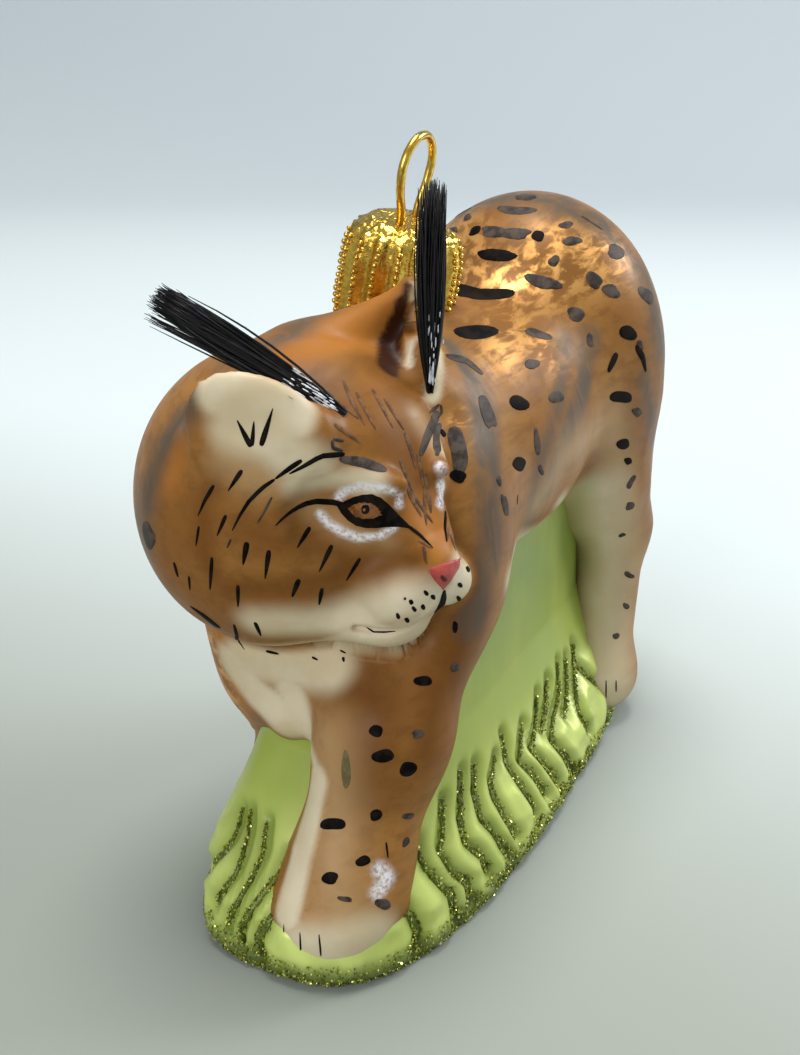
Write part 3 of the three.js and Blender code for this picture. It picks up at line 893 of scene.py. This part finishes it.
# Strokes in pixels: the path, the width at its start and at its end
blackStrokes = [
    ([(275, 526), (284, 517), (296, 508), (312, 501), (333, 502), (347, 506)], 2.4, 8),
    ([(408, 526), (420, 535), (433, 548)], 4.5, 1.5),
    ([(232, 531), (240, 515), (249, 501), (262, 488), (275, 479)], 2, 4.6),
    ([(275, 479), (290, 468), (302, 460)], 3, 5.5),
    ([(289, 474), (304, 466), (321, 456), (345, 454)], 3, 6.5),
    ([(237, 420), (251, 447)], 1.6, 6.5), ([(254, 421), (252, 446)], 1.6, 5), ([(273, 408), (261, 446)], 1.4, 7),
    ([(242, 470), (228, 491)], 5.4, 1.6), ([(214, 485), (205, 500), (198, 516)], 4.6, 1.6),
    ([(226, 515), (217, 536)], 4.4, 1.6), ([(199, 526), (196, 546)], 3, 1.4), ([(212, 557), (210, 590)], 4.4, 2),
    ([(189, 576), (190, 590)], 3, 1.4), ([(247, 542), (243, 565)], 7, 2), ([(269, 550), (265, 579)], 6, 1.6),
    ([(310, 527), (297, 548)], 5.4, 1.8), ([(332, 545), (319, 572)], 5.4, 1.8), ([(360, 558), (346, 581)], 4.6, 1.6),
    ([(299, 579), (292, 597)], 6, 2.4), ([(322, 588), (319, 605)], 4.8, 2), ([(238, 585), (238, 607)], 4.6, 1.8),
    ([(234, 624), (238, 640), (245, 650)], 4.6, 2), ([(255, 622), (261, 636)], 5, 2),
    ([(266, 651), (279, 654)], 3, 2),
    ([(312, 657), (318, 660)], 2.6, 1.6), ([(340, 650), (346, 653)], 2.6, 1.6), ([(343, 657), (344, 662)], 3, 1.6),
    ([(444, 590), (443, 600), (440, 607), (434, 613)], 5, 12),
    ([(366, 627), (374, 632), (385, 632), (396, 631)], 2, 1.4),
    ([(174, 562), (178, 577)], 4, 3), ([(190, 606), (203, 615), (219, 628)], 6, 13),
    ([(284, 924), (284, 946)], 1.4, 1.8), ([(300, 932), (301, 953)], 1.4, 1.8),
    ([(319, 934), (321, 956)], 1.4, 1.8), ([(606, 680), (606, 698)], 1.2, 1.2), ([(616, 680), (616, 692)], 1.2, 1.2),
    ([(617, 353), (608, 372)], 8, 6), ([(636, 345), (643, 358), (646, 372)], 9, 4),
    ([(386, 842), (388, 858)], 2, 1.4),
]
faintStrokes = [
    ([(343, 380), (352, 402), (365, 425)], 4, 2.4), ([(325, 390), (340, 404), (359, 419)], 4, 2.4),
    ([(334, 424), (348, 434), (361, 443)], 5, 3), ([(405, 432), (411, 450), (416, 469)], 6, 3),
    ([(400, 460), (407, 478), (413, 492)], 5, 3), ([(412, 493), (422, 508), (433, 523)], 5, 3),
    ([(425, 472), (428, 492), (431, 513)], 6, 4), ([(450, 534), (456, 551)], 4, 2),
    ([(356, 392), (376, 430)], 4, 2.4), ([(372, 388), (393, 428)], 4.4, 2.6), ([(384, 398), (404, 430)], 4.4, 2.6),
    ([(418, 540), (432, 548)], 3, 2),
]
greyStrokes = [
    ([(438, 411), (428, 434), (420, 456)], 11, 8), ([(438, 438), (437, 456)], 6, 5),
    ([(339, 459), (362, 462), (387, 470)], 8, 12), ([(332, 440), (333, 448), (343, 451)], 4, 3),
    ([(333, 439), (344, 441)], 3.4, 3), ([(446, 356), (465, 360), (483, 374)], 8, 9),
    ([(272, 497), (264, 512), (257, 524)], 2.6, 1.4), ([(231, 539), (227, 548)], 2.2, 1.4),
]
dots = [
    (426, 593), (433, 597), (411, 602), (414, 609), (423, 607), (407, 620), (418, 620), (398, 616), (460, 585),
    (468, 569), (459, 599),
]
eyeRim = [
    (337, 506), (348, 499), (359, 495), (372, 494), (384, 499), (394, 510), (414, 530), (394, 526), (380, 528),
    (366, 528), (353, 525), (343, 516),
]
iris = [
    (347, 508), (353, 504), (362, 501), (374, 502), (381, 508), (385, 515), (377, 519), (366, 520), (355, 517),
]
nosePad = [(428, 570), (436, 566), (448, 562), (461, 557), (459, 568), (451, 581), (443, 590), (434, 580)]


def makePaint(name, first, second, scale, roughness, gloss=0.25):
    material, tree, shader = newMaterial(name)
    worn = objectNoise(tree, scale, 4, 0.6, (1, 0.6, 1))
    feed(tree, shader, {
        "Base Color": mixed(tree, ramp(tree, worn, 0.4, 0.62), first, second),
        "Roughness": ramp(tree, worn, 0.3, 0.7, roughness - 0.06, roughness + 0.08),
        "Specular IOR Level": gloss,
    })
    bumped(tree, shader, worn, 0.3, 0.08)
    return material


blackPaint = makePaint("blackPaint", (0.003, 0.002, 0.002), (0.012, 0.008, 0.006), 900, 0.55, 0.05)
greyPaint = makePaint("greyPaint", (0.03, 0.022, 0.018), (0.085, 0.062, 0.048), 800, 0.5, 0.15)
brownPaint = makePaint("brownPaint", (0.1, 0.05, 0.026), (0.2, 0.1, 0.045), 1100, 0.5, 0.1)
amber = makePaint("amberPaint", (0.24, 0.085, 0.012), (0.12, 0.04, 0.006), 1200, 0.22, 0.5)
pinkPaint = makePaint("pinkPaint", (0.46, 0.075, 0.06), (0.34, 0.05, 0.045), 900, 0.4)
nostrilPaint = makePaint("nostrilPaint", (0.04, 0.008, 0.006), (0.08, 0.02, 0.01), 900, 0.5)
olivePaint = makePaint("olivePaint", (0.11, 0.085, 0.03), (0.16, 0.12, 0.05), 900, 0.4)


# Painted in layers: each stands a little higher than the one below
face = {
    "rimThick": 0.12,
    "irisThick": 0.19,
    "pupil": (366, 509.5, 12, 12, 0),
    "pupilThick": 0.24,
    "glint": (365, 509.5, 5, 5, 0),
    "glintThick": 0.28,
    "noseThick": 0.12,
    "nostril": (443, 578, 9, 6.5, 40),
    "nostrilThick": 0.17,
    "dot": (6, 4, 60),
}
oliveMark = (346, 770, 37, 9, 86)


def makeAllMarks():
    black = spotsOf("blackSpots", blackSpots) + strokesOf("blackStrokes", blackStrokes)
    black += [(filled(skinTree, oval(x, y, *face["dot"]), markKinds["blackSpots"][0]), None) for x, y in dots]
    black.append((filled(skinTree, eyeRim, face["rimThick"]), acrossHead))
    makeMarks("blackMarks", black, blackPaint)
    grey = spotsOf("greySpots", greySpots, 0.16) + strokesOf("greyStrokes", greyStrokes)
    grey += [(laid(skinTree, *spot), None) for spot in hiddenSpots]
    makeMarks("greyMarks", grey, greyPaint)
    makeMarks("faintMarks", strokesOf("faintStrokes", faintStrokes), brownPaint)
    makeMarks("irises", [(filled(skinTree, iris, face["irisThick"]), acrossHead)], amber)
    for name, mark, thick, material, slot in [
        ("pupils", face["pupil"], face["pupilThick"], blackPaint, "painted_mark"),
        ("pupilGlints", face["glint"], face["glintThick"], amber, "painted_eye"),
    ]:
        makeMarks(name, [(filled(skinTree, oval(*mark, rough=0), thick), acrossHead)], material)
    makeMarks("nosePad", [(filled(skinTree, nosePad, face["noseThick"]), None)], pinkPaint)
    for name, mark, thick, material in [
        ("nostrils", face["nostril"], face["nostrilThick"], nostrilPaint),
        ("oliveSpot", oliveMark, markKinds["blackSpots"][0], olivePaint),
    ]:
        makeMarks(name, [(filled(skinTree, oval(*mark), thick), None)], material)


makeAllMarks()
print("marks painted")

# The grass base: a boat-shaped mound with bulging blades at its foot, and the wall up to the belly
grass = {
    "halfLength": 46.9,
    "halfWidth": 18,
    "squareness": 2.8,
    "wallHalfLength": 36,
    "wallHalfWidth": 13.6,
    "wallSquareness": 4,
    "wallOffset": -1,
    "columns": 420,
    "rows": 80,
    "rowPower": 1.7,
    "topHeight": 39,
    "grooveDepth": 0.9,
    "grooveWidth": 0.95,
    "swell": 0.6,
}
# Height, and how far the way in to the wall has gone
grassRows = [(0, 0.05), (1.2, 0), (3.6, 0), (6.2, 0.08), (9, 0.35), (12.5, 0.8), (20, 1.35), (39, 1.5)]


def grassPoint(turn, height):
    heights, ways = zip(*grassRows)
    inward = float(np.interp(height, heights, ways))
    halfLength = grass["halfLength"] + (grass["wallHalfLength"] - grass["halfLength"]) * inward
    halfWidth = grass["halfWidth"] + (grass["wallHalfWidth"] - grass["halfWidth"]) * inward
    power = grass["squareness"] + (grass["wallSquareness"] - grass["squareness"]) * inward
    across = abs(math.cos(turn) / halfWidth) ** power
    along = abs(math.sin(turn) / halfLength) ** power
    radius = (across + along) ** (-1 / power)
    return Vector((radius * math.cos(turn) + grass["wallOffset"] * inward, radius * math.sin(turn), height))


def makeMound():
    shape = bmesh.new()
    ring = bmesh.ops.create_circle(shape, cap_ends=True, segments=grass["columns"], radius=1)["verts"]
    turns = {v: math.atan2(v.co.y, v.co.x) for v in ring}
    heights = [grass["topHeight"] * (i / grass["rows"]) ** grass["rowPower"] for i in range(grass["rows"] + 1)]
    for v, turn in turns.items():
        v.co = grassPoint(turn, 0) * mm
    edges = list(shape.edges)
    for height in heights[1:]:
        grown = bmesh.ops.extrude_edge_only(shape, edges=edges)["geom"]
        edges = [e for e in grown if isinstance(e, bmesh.types.BMEdge)]
        for v in {v for e in edges for v in e.verts}:
            below = [e.other_vert(v) for e in v.link_edges if e not in edges]
            turn = turns[[w for w in below if w in turns][0]]
            turns[v] = turn
            v.co = grassPoint(turn, height) * mm
    bmesh.ops.contextual_create(shape, geom=edges)
    bmesh.ops.recalc_face_normals(shape, faces=shape.faces)
    return meshOf("mound", shape)


# Lines of glitter between the blades, in pixels, from the top down
glitterRight = [
    [(417, 843), (427, 867), (441, 882), (454, 896), (457, 918)],
    [(445, 798), (444, 833), (442, 850), (456, 873), (470, 883), (473, 899)],
    [(464, 770), (463, 821), (468, 843), (484, 856), (491, 872)],
    [(477, 763), (477, 794), (484, 819), (496, 831), (504, 845), (511, 855)],
    [(497, 756), (493, 780), (497, 798), (509, 819), (519, 836)],
    [(504, 734), (509, 763), (521, 782), (533, 799), (537, 814)],
    [(524, 724), (521, 760), (536, 775), (548, 794)],
    [(539, 693), (538, 722), (533, 748), (548, 765), (560, 782)],
    [(560, 661), (561, 693), (555, 717), (553, 739), (567, 756), (574, 770)],
    [(576, 644), (577, 685), (580, 712), (590, 730)],
    [(549, 678), (548, 706), (543, 730)],
    [(568, 656), (569, 690), (566, 716)],
]
glitterFront = [
    [(241, 807), (238, 823), (231, 840), (216, 857), (210, 868)],
    [(249, 809), (247, 833), (243, 850), (235, 873), (219, 892), (214, 904)],
    [(266, 821), (262, 854), (252, 876), (240, 895), (228, 918), (226, 930)],
    [(290, 852), (276, 876), (262, 892), (248, 911), (238, 931), (241, 947)],
    [(286, 900), (268, 918), (256, 940), (258, 958)],
    [(398, 905), (412, 915), (420, 930), (418, 945)],
]


def glitterLines(tree):
    lines = [seenPath(tree, pixels, 8) for pixels in glitterRight + glitterFront]
    left = [line * (-1, 1, 1) for line in lines[2:len(glitterRight)]]
    rear = []
    for i in range(9):
        side = (i - 4) / 4
        turn = math.pi / 2 - 0.75 * side
        rear.append(np.array([
            grassPoint(turn - 0.1 * side * (t - 0.5 + 0.5 * math.sin(6 * t)), 14.5 - 1.5 * (i % 2) - 12 * t)
            for t in np.linspace(0, 1, 9)
        ]))
    return [settled(tree, line, np.zeros(len(line))) for line in lines + left + rear]


def makeGrass():
    data = makeMound()
    lines = glitterLines(treeOf(data))
    points = spots(data)
    away = np.full(len(points), 9.0)
    for line in lines:
        near = np.linalg.norm(points - line.mean(axis=0), axis=1) < 14
        for start, end in zip(line, line[1:]):
            away[near] = np.minimum(away[near], rod(points[near], start, end, 0, 0))
    groove = np.exp(-(away / grass["grooveWidth"]) ** 2)
    low = 1 - smoothstep(points[:, 2], 9, 17)
    low *= smoothstep(points[:, 2], 0, 1.5)
    lumps = np.array([noise.noise(Vector(p) * 0.35) for p in points])
    swell = np.minimum(away / 2, 1) ** 2 * (0.75 + lumps) * low
    outward = points * (1, 1, 0) / (18 * 18, 47 * 47, 1)
    outward /= np.maximum(np.linalg.norm(outward, axis=1), 1e-6)[:, None]
    rim = smoothstep(points[:, 2], 0, 0.4)
    move = grass["swell"] * swell - grass["grooveDepth"] * groove * rim
    moveTo(data, points + outward * move[:, None])
    for name, values in (("groove", groove), ("blade", np.minimum(away / 2.2, 1) * low)):
        data.attributes.new(name, "FLOAT", "POINT").data.foreach_set("value", values)
    dressed("grassMound", data, makeGreenMaterial(), replacing=["grass_base"])
    return treeOf(data), lines


# Pearly green paint: pale on the bulging blades, with a painted highlight there too, and painted shade making it
# deeper up the wall under the belly and in the grooves
green = {
    "low": (0.36, 0.45, 0.075),
    # painted shade: the wall's colour under the belly
    "high": (0.2, 0.27, 0.035),
    "clouds": (0.44, 0.5, 0.12),
    # pale paint of the blades, with a painted highlight
    "blades": (0.62, 0.72, 0.2),
    # painted shade in the grooves
    "grooveShade": (0.16, 0.22, 0.03),
    "foot": (0.05, 0.075, 0.01),
}


def makeGreenMaterial():
    material, tree, shader = newMaterial("pearlyGreen")
    height, blade = objectAxis(tree, "Z"), attribute(tree, "blade")
    clouds = objectNoise(tree, 90, 4, 0.55, (1, 1, 0.5))
    # painted shade: darker towards the top of the wall, under the belly
    shadedWall = mixed(tree, ramp(tree, height, 0.012, 0.034), green["low"], green["high"])
    feed(tree, shader, {
        "Base Color": layered(tree, shadedWall, [
            (times(tree, ramp(tree, clouds, 0.4, 0.7), 0.45), green["clouds"]),
            # pale paint on the bulging blades, brightened as a painted highlight
            (times(tree, blade, ramp(tree, clouds, 0.25, 0.6, 0.55, 1)), green["blades"]),
            # painted shade in the grooves between the blades
            (times(tree, attribute(tree, "groove"), 0.6), green["grooveShade"]),
            (ramp(tree, height, 0.0012, 0.004, 0.85, 0), green["foot"]),
        ]),
        "Metallic": times(tree, blade, 0.2),
        "Roughness": ramp(tree, clouds, 0.3, 0.7, 0.32, 0.44),
        "Specular IOR Level": 0.3,
        "Coat Weight": 0.06,
        "Coat Roughness": 0.2,
    })
    bumped(tree, shader, clouds, 0.15, 0.3)
    return material


grassTree, glitterPaths = makeGrass()
print("grass base made")

# Glitter: beads of dark glue with flakes pressed into them, and a band of flakes around the foot
glitter = {
    "perMillimetre": 17,
    "rimFlakes": 9000,
    "rimHeight": 3.0,
    "flake": (0.11, 0.21),
    "width": 0.31,
    "glue": (0.42, 0.62, 0.26),  # the bead's width at its start and end, and its height
    "kinds": [("darkGlitter", 0.32), ("oliveGlitter", 0.7), ("brightGlitter", 1)],
}


def makeGlitterMaterial(name, colour, metallic, roughness):
    material, tree, shader = newMaterial(name)
    sparkle = objectNoise(tree, 4000, 1, 0.5)
    feed(tree, shader, {
        "Base Color": mixed(tree, ramp(tree, sparkle, 0.3, 0.7), colour, tuple(0.55 * c for c in colour)),
        "Metallic": metallic,
        "Roughness": ramp(tree, sparkle, 0.3, 0.7, roughness, roughness + 0.2),
    })
    return material


def makeGlue(material):
    form, formRound = pebble(8, 26)
    places = []
    for line in glitterPaths:
        base, heights = ridge(grassTree, line, *glitter["glue"], formRound)
        places.append(settled(grassTree, base, heights))
    finishedCopies("glitterGlue", form, places, material)


def flakeTemplate():
    shape = bmesh.new()
    bmesh.ops.create_cone(shape, cap_ends=True, segments=4, radius1=1, radius2=0, depth=0.5)
    return template("flake", shape)


def flakePlaces(draw):
    places = []
    for line in glitterPaths:
        lengths = lengthsAlong(line)
        for _ in range(int(lengths[-1] * glitter["perMillimetre"])):
            where = draw.uniform(0, lengths[-1])
            middle = Vector([float(np.interp(where, lengths, line[:, i])) for i in range(3)])
            spread = glitter["width"] * (0.75 + 0.5 * where / lengths[-1])
            scatter = Vector([draw.gauss(0, 0.5) for _ in range(3)]) * spread
            place, normal, _, _ = grassTree.find_nearest((middle + scatter) * mm)
            lift = 0.32 * math.exp(-(scatter.length / spread) ** 2) + 0.03
            places.append(place / mm + normal * lift)
    for _ in range(glitter["rimFlakes"]):
        turn = draw.uniform(0, 2 * math.pi)
        height = glitter["rimHeight"] * draw.random() ** 1.6 + 0.25
        place, normal, _, _ = grassTree.find_nearest(grassPoint(turn, height) * mm)
        places.append(place / mm + normal * draw.uniform(0.02, 0.2))
    return places


def makeGlitter():
    draw = random.Random(5)
    form, corners = flakeTemplate()
    groups = {name: [] for name, _ in glitter["kinds"]}
    for place in flakePlaces(draw):
        turn = np.array(Euler([draw.uniform(0, 2 * math.pi) for _ in range(3)]).to_matrix())
        made = corners @ turn * draw.uniform(*glitter["flake"]) + np.array(place)
        made[:, 2] = np.maximum(made[:, 2], 0.02)
        share = draw.random()
        groups[[name for name, limit in glitter["kinds"] if share <= limit][0]].append(made)
    colours = {
        "darkGlitter": ((0.12, 0.16, 0.018), 0.35, 0.3),
        "oliveGlitter": ((0.5, 0.56, 0.05), 0.5, 0.25),
        "brightGlitter": ((0.9, 0.9, 0.24), 0.6, 0.16),
    }
    for name, places in groups.items():
        data = copied(form, places)
        dressed(name, data, makeGlitterMaterial(name, *colours[name]), smooth=False)


makeGlue(makeGlitterMaterial("glitterGlue", (0.15, 0.19, 0.025), 0.3, 0.3))
makeGlitter()
print("glitter laid")

# The cap and its wire, in the cap's own leaning axes
cap = {
    "centre": (-5.3, -6, 65.2),
    "radius": 6.7,
    "height": 12,
    "leanX": 3,
    "leanY": 12,
    "ribs": 16,
    "ribDepth": 0.35,
    "bead": 0.38,
    "beadRows": 12,
    "firstBead": 0.4,
    "beadStep": 0.82,
    "stepsPerRib": 12,
    "gold": ((0.82, 0.54, 0.1), (0.6, 0.35, 0.05)),
}
wire = {"thickness": 1, "loopWidth": 8.5, "loopHeight": 9.8, "sunk": 2.2}
capTurn = Matrix.Translation(Vector(cap["centre"])) @ Euler(
    (math.radians(cap["leanX"]), math.radians(cap["leanY"]), 0), "XYZ"
).to_matrix().to_4x4()


def makeGoldMaterial(name, bump):
    material, tree, shader = newMaterial(name)
    grain = objectNoise(tree, 1500, 3, 0.6)
    feed(tree, shader, {
        "Base Color": mixed(tree, ramp(tree, grain, 0.4, 0.66), *cap["gold"]),
        "Metallic": 1,
        "Roughness": ramp(tree, grain, 0.3, 0.7, 0.14, 0.28),
    })
    bumped(tree, shader, grain, bump, 0.15)
    return material


# A crimped cap: beaded ribs around it, and a hammered top and flat panels between the ribs
def makeCap(material):
    radius, height = cap["radius"], cap["height"]
    profile = [(0.96, -5), (1, 0.6), (0.985, 0.62 * height), (0.9, 0.86 * height), (0.62, 0.97 * height)]
    shape = bmesh.new()
    start = [shape.verts.new((x * radius, 0, z)) for x, z in profile]
    start = [shape.verts.new((0, 0, -5))] + start + [shape.verts.new((0, 0, height))]
    edges = [shape.edges.new(pair) for pair in zip(start, start[1:])]
    bmesh.ops.subdivide_edges(shape, edges=edges, cuts=9)
    bmesh.ops.spin(
        shape, geom=shape.verts[:] + shape.edges[:], cent=(0, 0, 0), axis=(0, 0, 1),
        angle=2 * math.pi, steps=cap["ribs"] * cap["stepsPerRib"], use_merge=True,
    )
    bmesh.ops.remove_doubles(shape, verts=shape.verts, dist=1e-4)
    shape.normal_update()
    for v in shape.verts:
        turn = math.atan2(v.co.y, v.co.x)
        out = math.hypot(v.co.x, v.co.y) / radius
        rib = 1 + cap["ribDepth"] / radius * math.cos(turn * cap["ribs"]) * min(1, max(0, (out - 0.8) * 6))
        hammer = noise.noise(v.co * 1.9) + 0.6 * noise.noise(v.co * 4.1)
        v.co += v.normal * hammer * (0.2 if v.co.z > 0.84 * height else 0.09)
        v.co.x *= rib
        v.co.y *= rib
    shape.transform(Matrix.Scale(mm, 4) @ capTurn)
    finished("crimpedCap", shape, material, replacing=["cap"])


def makeBeads(material):
    form, formRound = pebble(8, 6)
    draw = random.Random(3)
    places = []
    for rib in range(cap["ribs"]):
        turn = 2 * math.pi * rib / cap["ribs"]
        for i in range(cap["beadRows"]):
            up = cap["firstBead"] + i * cap["beadStep"]
            share = up / cap["height"]
            out = cap["radius"] * float(np.interp(share, (0, 0.62, 0.86), (1, 0.985, 0.9))) + cap["ribDepth"]
            centre = capTurn @ Vector((out * math.cos(turn), out * math.sin(turn), up))
            places.append(formRound * cap["bead"] * draw.uniform(0.8, 1.1) + np.array(centre))
    dressed("capBeads", copied(form, places), material)


def wirePath():
    half = (wire["loopWidth"] - wire["thickness"]) / 2
    tall = wire["loopHeight"] - wire["thickness"] / 2
    foot = half * 0.55
    top = cap["height"]
    turns = [math.pi * (1.12 - 1.24 * i / 6) for i in range(7)]
    path = [(-foot, top - wire["sunk"]), (-foot, top + 0.4)]
    path += [(half * math.cos(t), top + tall - half + half * math.sin(t)) for t in turns]
    path += [(foot, top + 0.4), (foot, top - wire["sunk"])]
    return [capTurn @ Vector((0, y, z)) for y, z in path]


def makeWire(material):
    curve = bpy.data.curves.new("loopLine", "CURVE")
    curve.dimensions = "3D"
    curve.bevel_depth = wire["thickness"] / 2 * mm
    curve.bevel_resolution = 6
    curve.use_fill_caps = True
    spline = curve.splines.new("BEZIER")
    path = wirePath()
    spline.bezier_points.add(len(path) - 1)
    for knot, place in zip(spline.bezier_points, path):
        knot.co = place * mm
        knot.handle_left_type = knot.handle_right_type = "AUTO"
    spline.resolution_u = 12
    line = bpy.data.objects.new("loopLine", curve)
    bpy.context.scene.collection.objects.link(line)
    graph = bpy.context.evaluated_depsgraph_get()
    shape = bmesh.new()
    shape.from_mesh(bpy.data.meshes.new_from_object(line.evaluated_get(graph)))
    bpy.data.objects.remove(line)
    bmesh.ops.remove_doubles(shape, verts=shape.verts, dist=0.001 * mm)
    finished("hangingLoop", shape, material, replacing=["hanger"])


hammeredGold = makeGoldMaterial("hammeredGold", 0.6)
makeCap(hammeredGold)
makeBeads(hammeredGold)
makeWire(makeGoldMaterial("drawnGold", 0.05))
print("cap and wire made")

# The ear tufts: bundles of fine stiff bristles, stuck on with white glue. Each root is where the glass shows
# at a pixel of the photograph, and each tip is in the head's axes.
tufts = {
    "left": {
        "root": (430, 388), "tip": (2, 10.6, 33.8), "spread": 2.5, "flat": (0.7, -0.7, 0), "bow": 0.6,
        "bristles": 180, "seed": 11, "node": "tuft_left", "glue": 8, "foot": 0.4,
    },
    "right": {
        "root": (340, 411), "tip": (-11.3, -15.8, 22.9), "spread": 3.5, "flat": (0.4, -0.9, 0), "bow": 0.1,
        "bristles": 260, "seed": 23, "node": "tuft_right", "glue": 6, "foot": 0.5,
    },
}

tuftClumps = 14
glueDrops = 190


def bristleTemplate():
    shape = bmesh.new()
    made = bmesh.ops.create_cone(shape, cap_ends=True, segments=5, radius1=1, radius2=1, depth=2)["verts"]
    sides = [e for e in shape.edges if abs(e.verts[0].co.z - e.verts[1].co.z) > 1]
    bmesh.ops.subdivide_edges(shape, edges=sides, cuts=5)
    return template("bristle", shape)


def makeTuft(name, form, material, glueMaterial):
    draw = random.Random(form["seed"])
    root = Vector(seen(skinTree, *form["root"]))
    tip = Vector(outOfHead(form["tip"]))
    along = tip - root
    across = Vector(form["flat"]).cross(along).normalized()
    through = along.cross(across).normalized()
    hair, hairRound = bristleTemplate()
    t = (hairRound[:, 2] + 1) / 2
    places = []
    clumps = [(draw.gauss(0, 0.24), draw.uniform(-0.45, 0.45)) for _ in range(tuftClumps)]
    for _ in range(form["bristles"]):
        lane, depth = (value + draw.gauss(0, 0.07) for value in draw.choice(clumps))
        foot = root + across * lane * form["foot"] + through * depth * 0.8 - along * draw.uniform(0, 0.03)
        reach = 1 - 0.14 * draw.random() ** 2 - 0.05 * abs(lane)
        end = root + along * reach + across * lane * form["spread"] + through * depth * form["spread"] * 0.6
        end += Vector([draw.gauss(0, 0.22) for _ in range(3)])
        bend = across * (draw.gauss(0, 0.3) + lane * form["bow"])
        bend += through * (draw.gauss(0, 0.3) + depth * form["bow"])
        radius = draw.uniform(0.09, 0.15) * (1 - 0.75 * t ** 3)
        line = end - foot
        turned = np.array(Vector((0, 0, 1)).rotation_difference(line).to_matrix())
        ring = hairRound * (1, 1, 0) * radius[:, None]
        spine = np.array(foot) + t[:, None] * np.array(line) + (t * (1 - t) * 4)[:, None] * np.array(bend)
        places.append(ring @ turned.T + spine)
    dressed(name + "Tuft", copied(hair, places), material, replacing=[form["node"]])
    # Dried glue clings to the bristles near the root
    drop, dropRound = pebble(8, 6)
    places = []
    turned = np.array(Vector((0, 0, 1)).rotation_difference(along).to_matrix())
    for _ in range(glueDrops):
        share = draw.uniform(0.08, 1) * form["glue"] / along.length
        side = draw.gauss(0, 0.26) * (form["foot"] + share * form["spread"] * 2)
        centre = root + along * share + across * side + through * draw.gauss(0, 0.5)
        stretch = np.array([draw.uniform(0.04, 0.11), draw.uniform(0.04, 0.11), draw.uniform(0.15, 0.8)])
        places.append(dropRound * stretch @ turned.T + np.array(centre))
    dressed(name + "Glue", copied(drop, places), glueMaterial)


bristlePaint = makePaint("blackBristle", (0.002, 0.002, 0.003), (0.006, 0.005, 0.006), 1200, 0.36, 0.3)
glueWhite = makePaint("whiteGlue", (0.72, 0.76, 0.8), (0.5, 0.55, 0.6), 1800, 0.35)
for side, form in tufts.items():
    makeTuft(side, form, bristlePaint, glueWhite)
print("tufts made")

# Floor, backdrop and light
stage = {
    # painted light: the sheet is darker near the camera, brighter further off, and darker again up the backdrop
    "near": (0.285, 0.31, 0.275),
    "far": (0.6, 0.66, 0.67),
    "back": (0.47, 0.52, 0.55),
    "front": 2,
    "behind": 0.52,
    "bend": 0.3,
    "bendSteps": 12,
    "tall": 1.4,
    "wide": 3,
}


# A sheet that lies under the figure and bends up behind it
def makeStage():
    shape = bmesh.new()
    line = [(-stage["front"], 0), (0, 0), (stage["behind"], 0)]
    for i in range(1, stage["bendSteps"] + 1):
        turn = math.pi / 2 * i / stage["bendSteps"]
        line.append((stage["behind"] + stage["bend"] * math.sin(turn), stage["bend"] * (1 - math.cos(turn))))
    line.append((stage["behind"] + stage["bend"], stage["tall"]))
    start = [shape.verts.new((-stage["wide"], y, z)) for y, z in line]
    edges = [shape.edges.new(pair) for pair in zip(start, start[1:])]
    grown = bmesh.ops.extrude_edge_only(shape, edges=edges)["geom"]
    for v in grown:
        if isinstance(v, bmesh.types.BMVert):
            v.co.x = stage["wide"]
    bmesh.ops.recalc_face_normals(shape, faces=shape.faces)
    if sum(f.normal.z for f in shape.faces) < 0:
        bmesh.ops.reverse_faces(shape, faces=shape.faces)
    bmesh.ops.rotate(shape, verts=shape.verts, matrix=Matrix.Rotation(math.radians(photo["turn"]), 3, "Z"))
    data = meshOf("sheet", shape)
    data.polygons.foreach_set("use_smooth", [True] * len(data.polygons))
    sheet = bpy.data.objects.new("sheet", data)
    material, tree, shader = newMaterial("paleSheet")
    away = objectAxis(tree, "Y")
    # painted light: near and far tones of the floor, then painted shade up the backdrop
    colour = mixed(tree, ramp(tree, away, -0.06, 0.12), stage["near"], stage["far"])
    colour = mixed(tree, ramp(tree, away, 0.25, 0.6), colour, stage["back"])
    feed(tree, shader, {"Base Color": colour, "Roughness": 0.75})
    sheet.data.materials.append(material)
    bpy.context.scene.collection.objects.link(sheet)


# Lights: place and aim, width in metres, power and colour
lights = {
    "ceilingLight": ((-0.05, 0.1, 0.8), (0, 0, 0.04), 0.4, 5.2, (1, 0.99, 0.96)),
    "windowLight": ((0.5, 0.62, 0.45), (0, 0, 0.05), 0.34, 4, (1, 0.99, 0.97)),
    "roomLight": ((-0.08, -0.75, 0.42), (0, 0, 0.05), 0.5, 2.6, (1, 0.98, 0.95)),
}
air = {"Color": (0.84, 0.9, 0.95), "Strength": 0.55}


def makeLights():
    for name, (place, aim, width, power, colour) in lights.items():
        data = bpy.data.lights.new(name, "AREA")
        data.shape = "DISK"
        data.size = width
        data.energy = power
        data.color = colour
        lamp = bpy.data.objects.new(name, data)
        lamp.location = place
        lamp.rotation_euler = (Vector(aim) - Vector(place)).to_track_quat("-Z", "Y").to_euler()
        bpy.context.scene.collection.objects.link(lamp)
    world = bpy.data.worlds.new("room")
    world.use_nodes = True
    feed(world.node_tree, world.node_tree.nodes["Background"], air)
    bpy.context.scene.world = world
    bpy.context.scene.view_settings.view_transform = "Standard"


makeStage()
makeLights()
print("stage made")
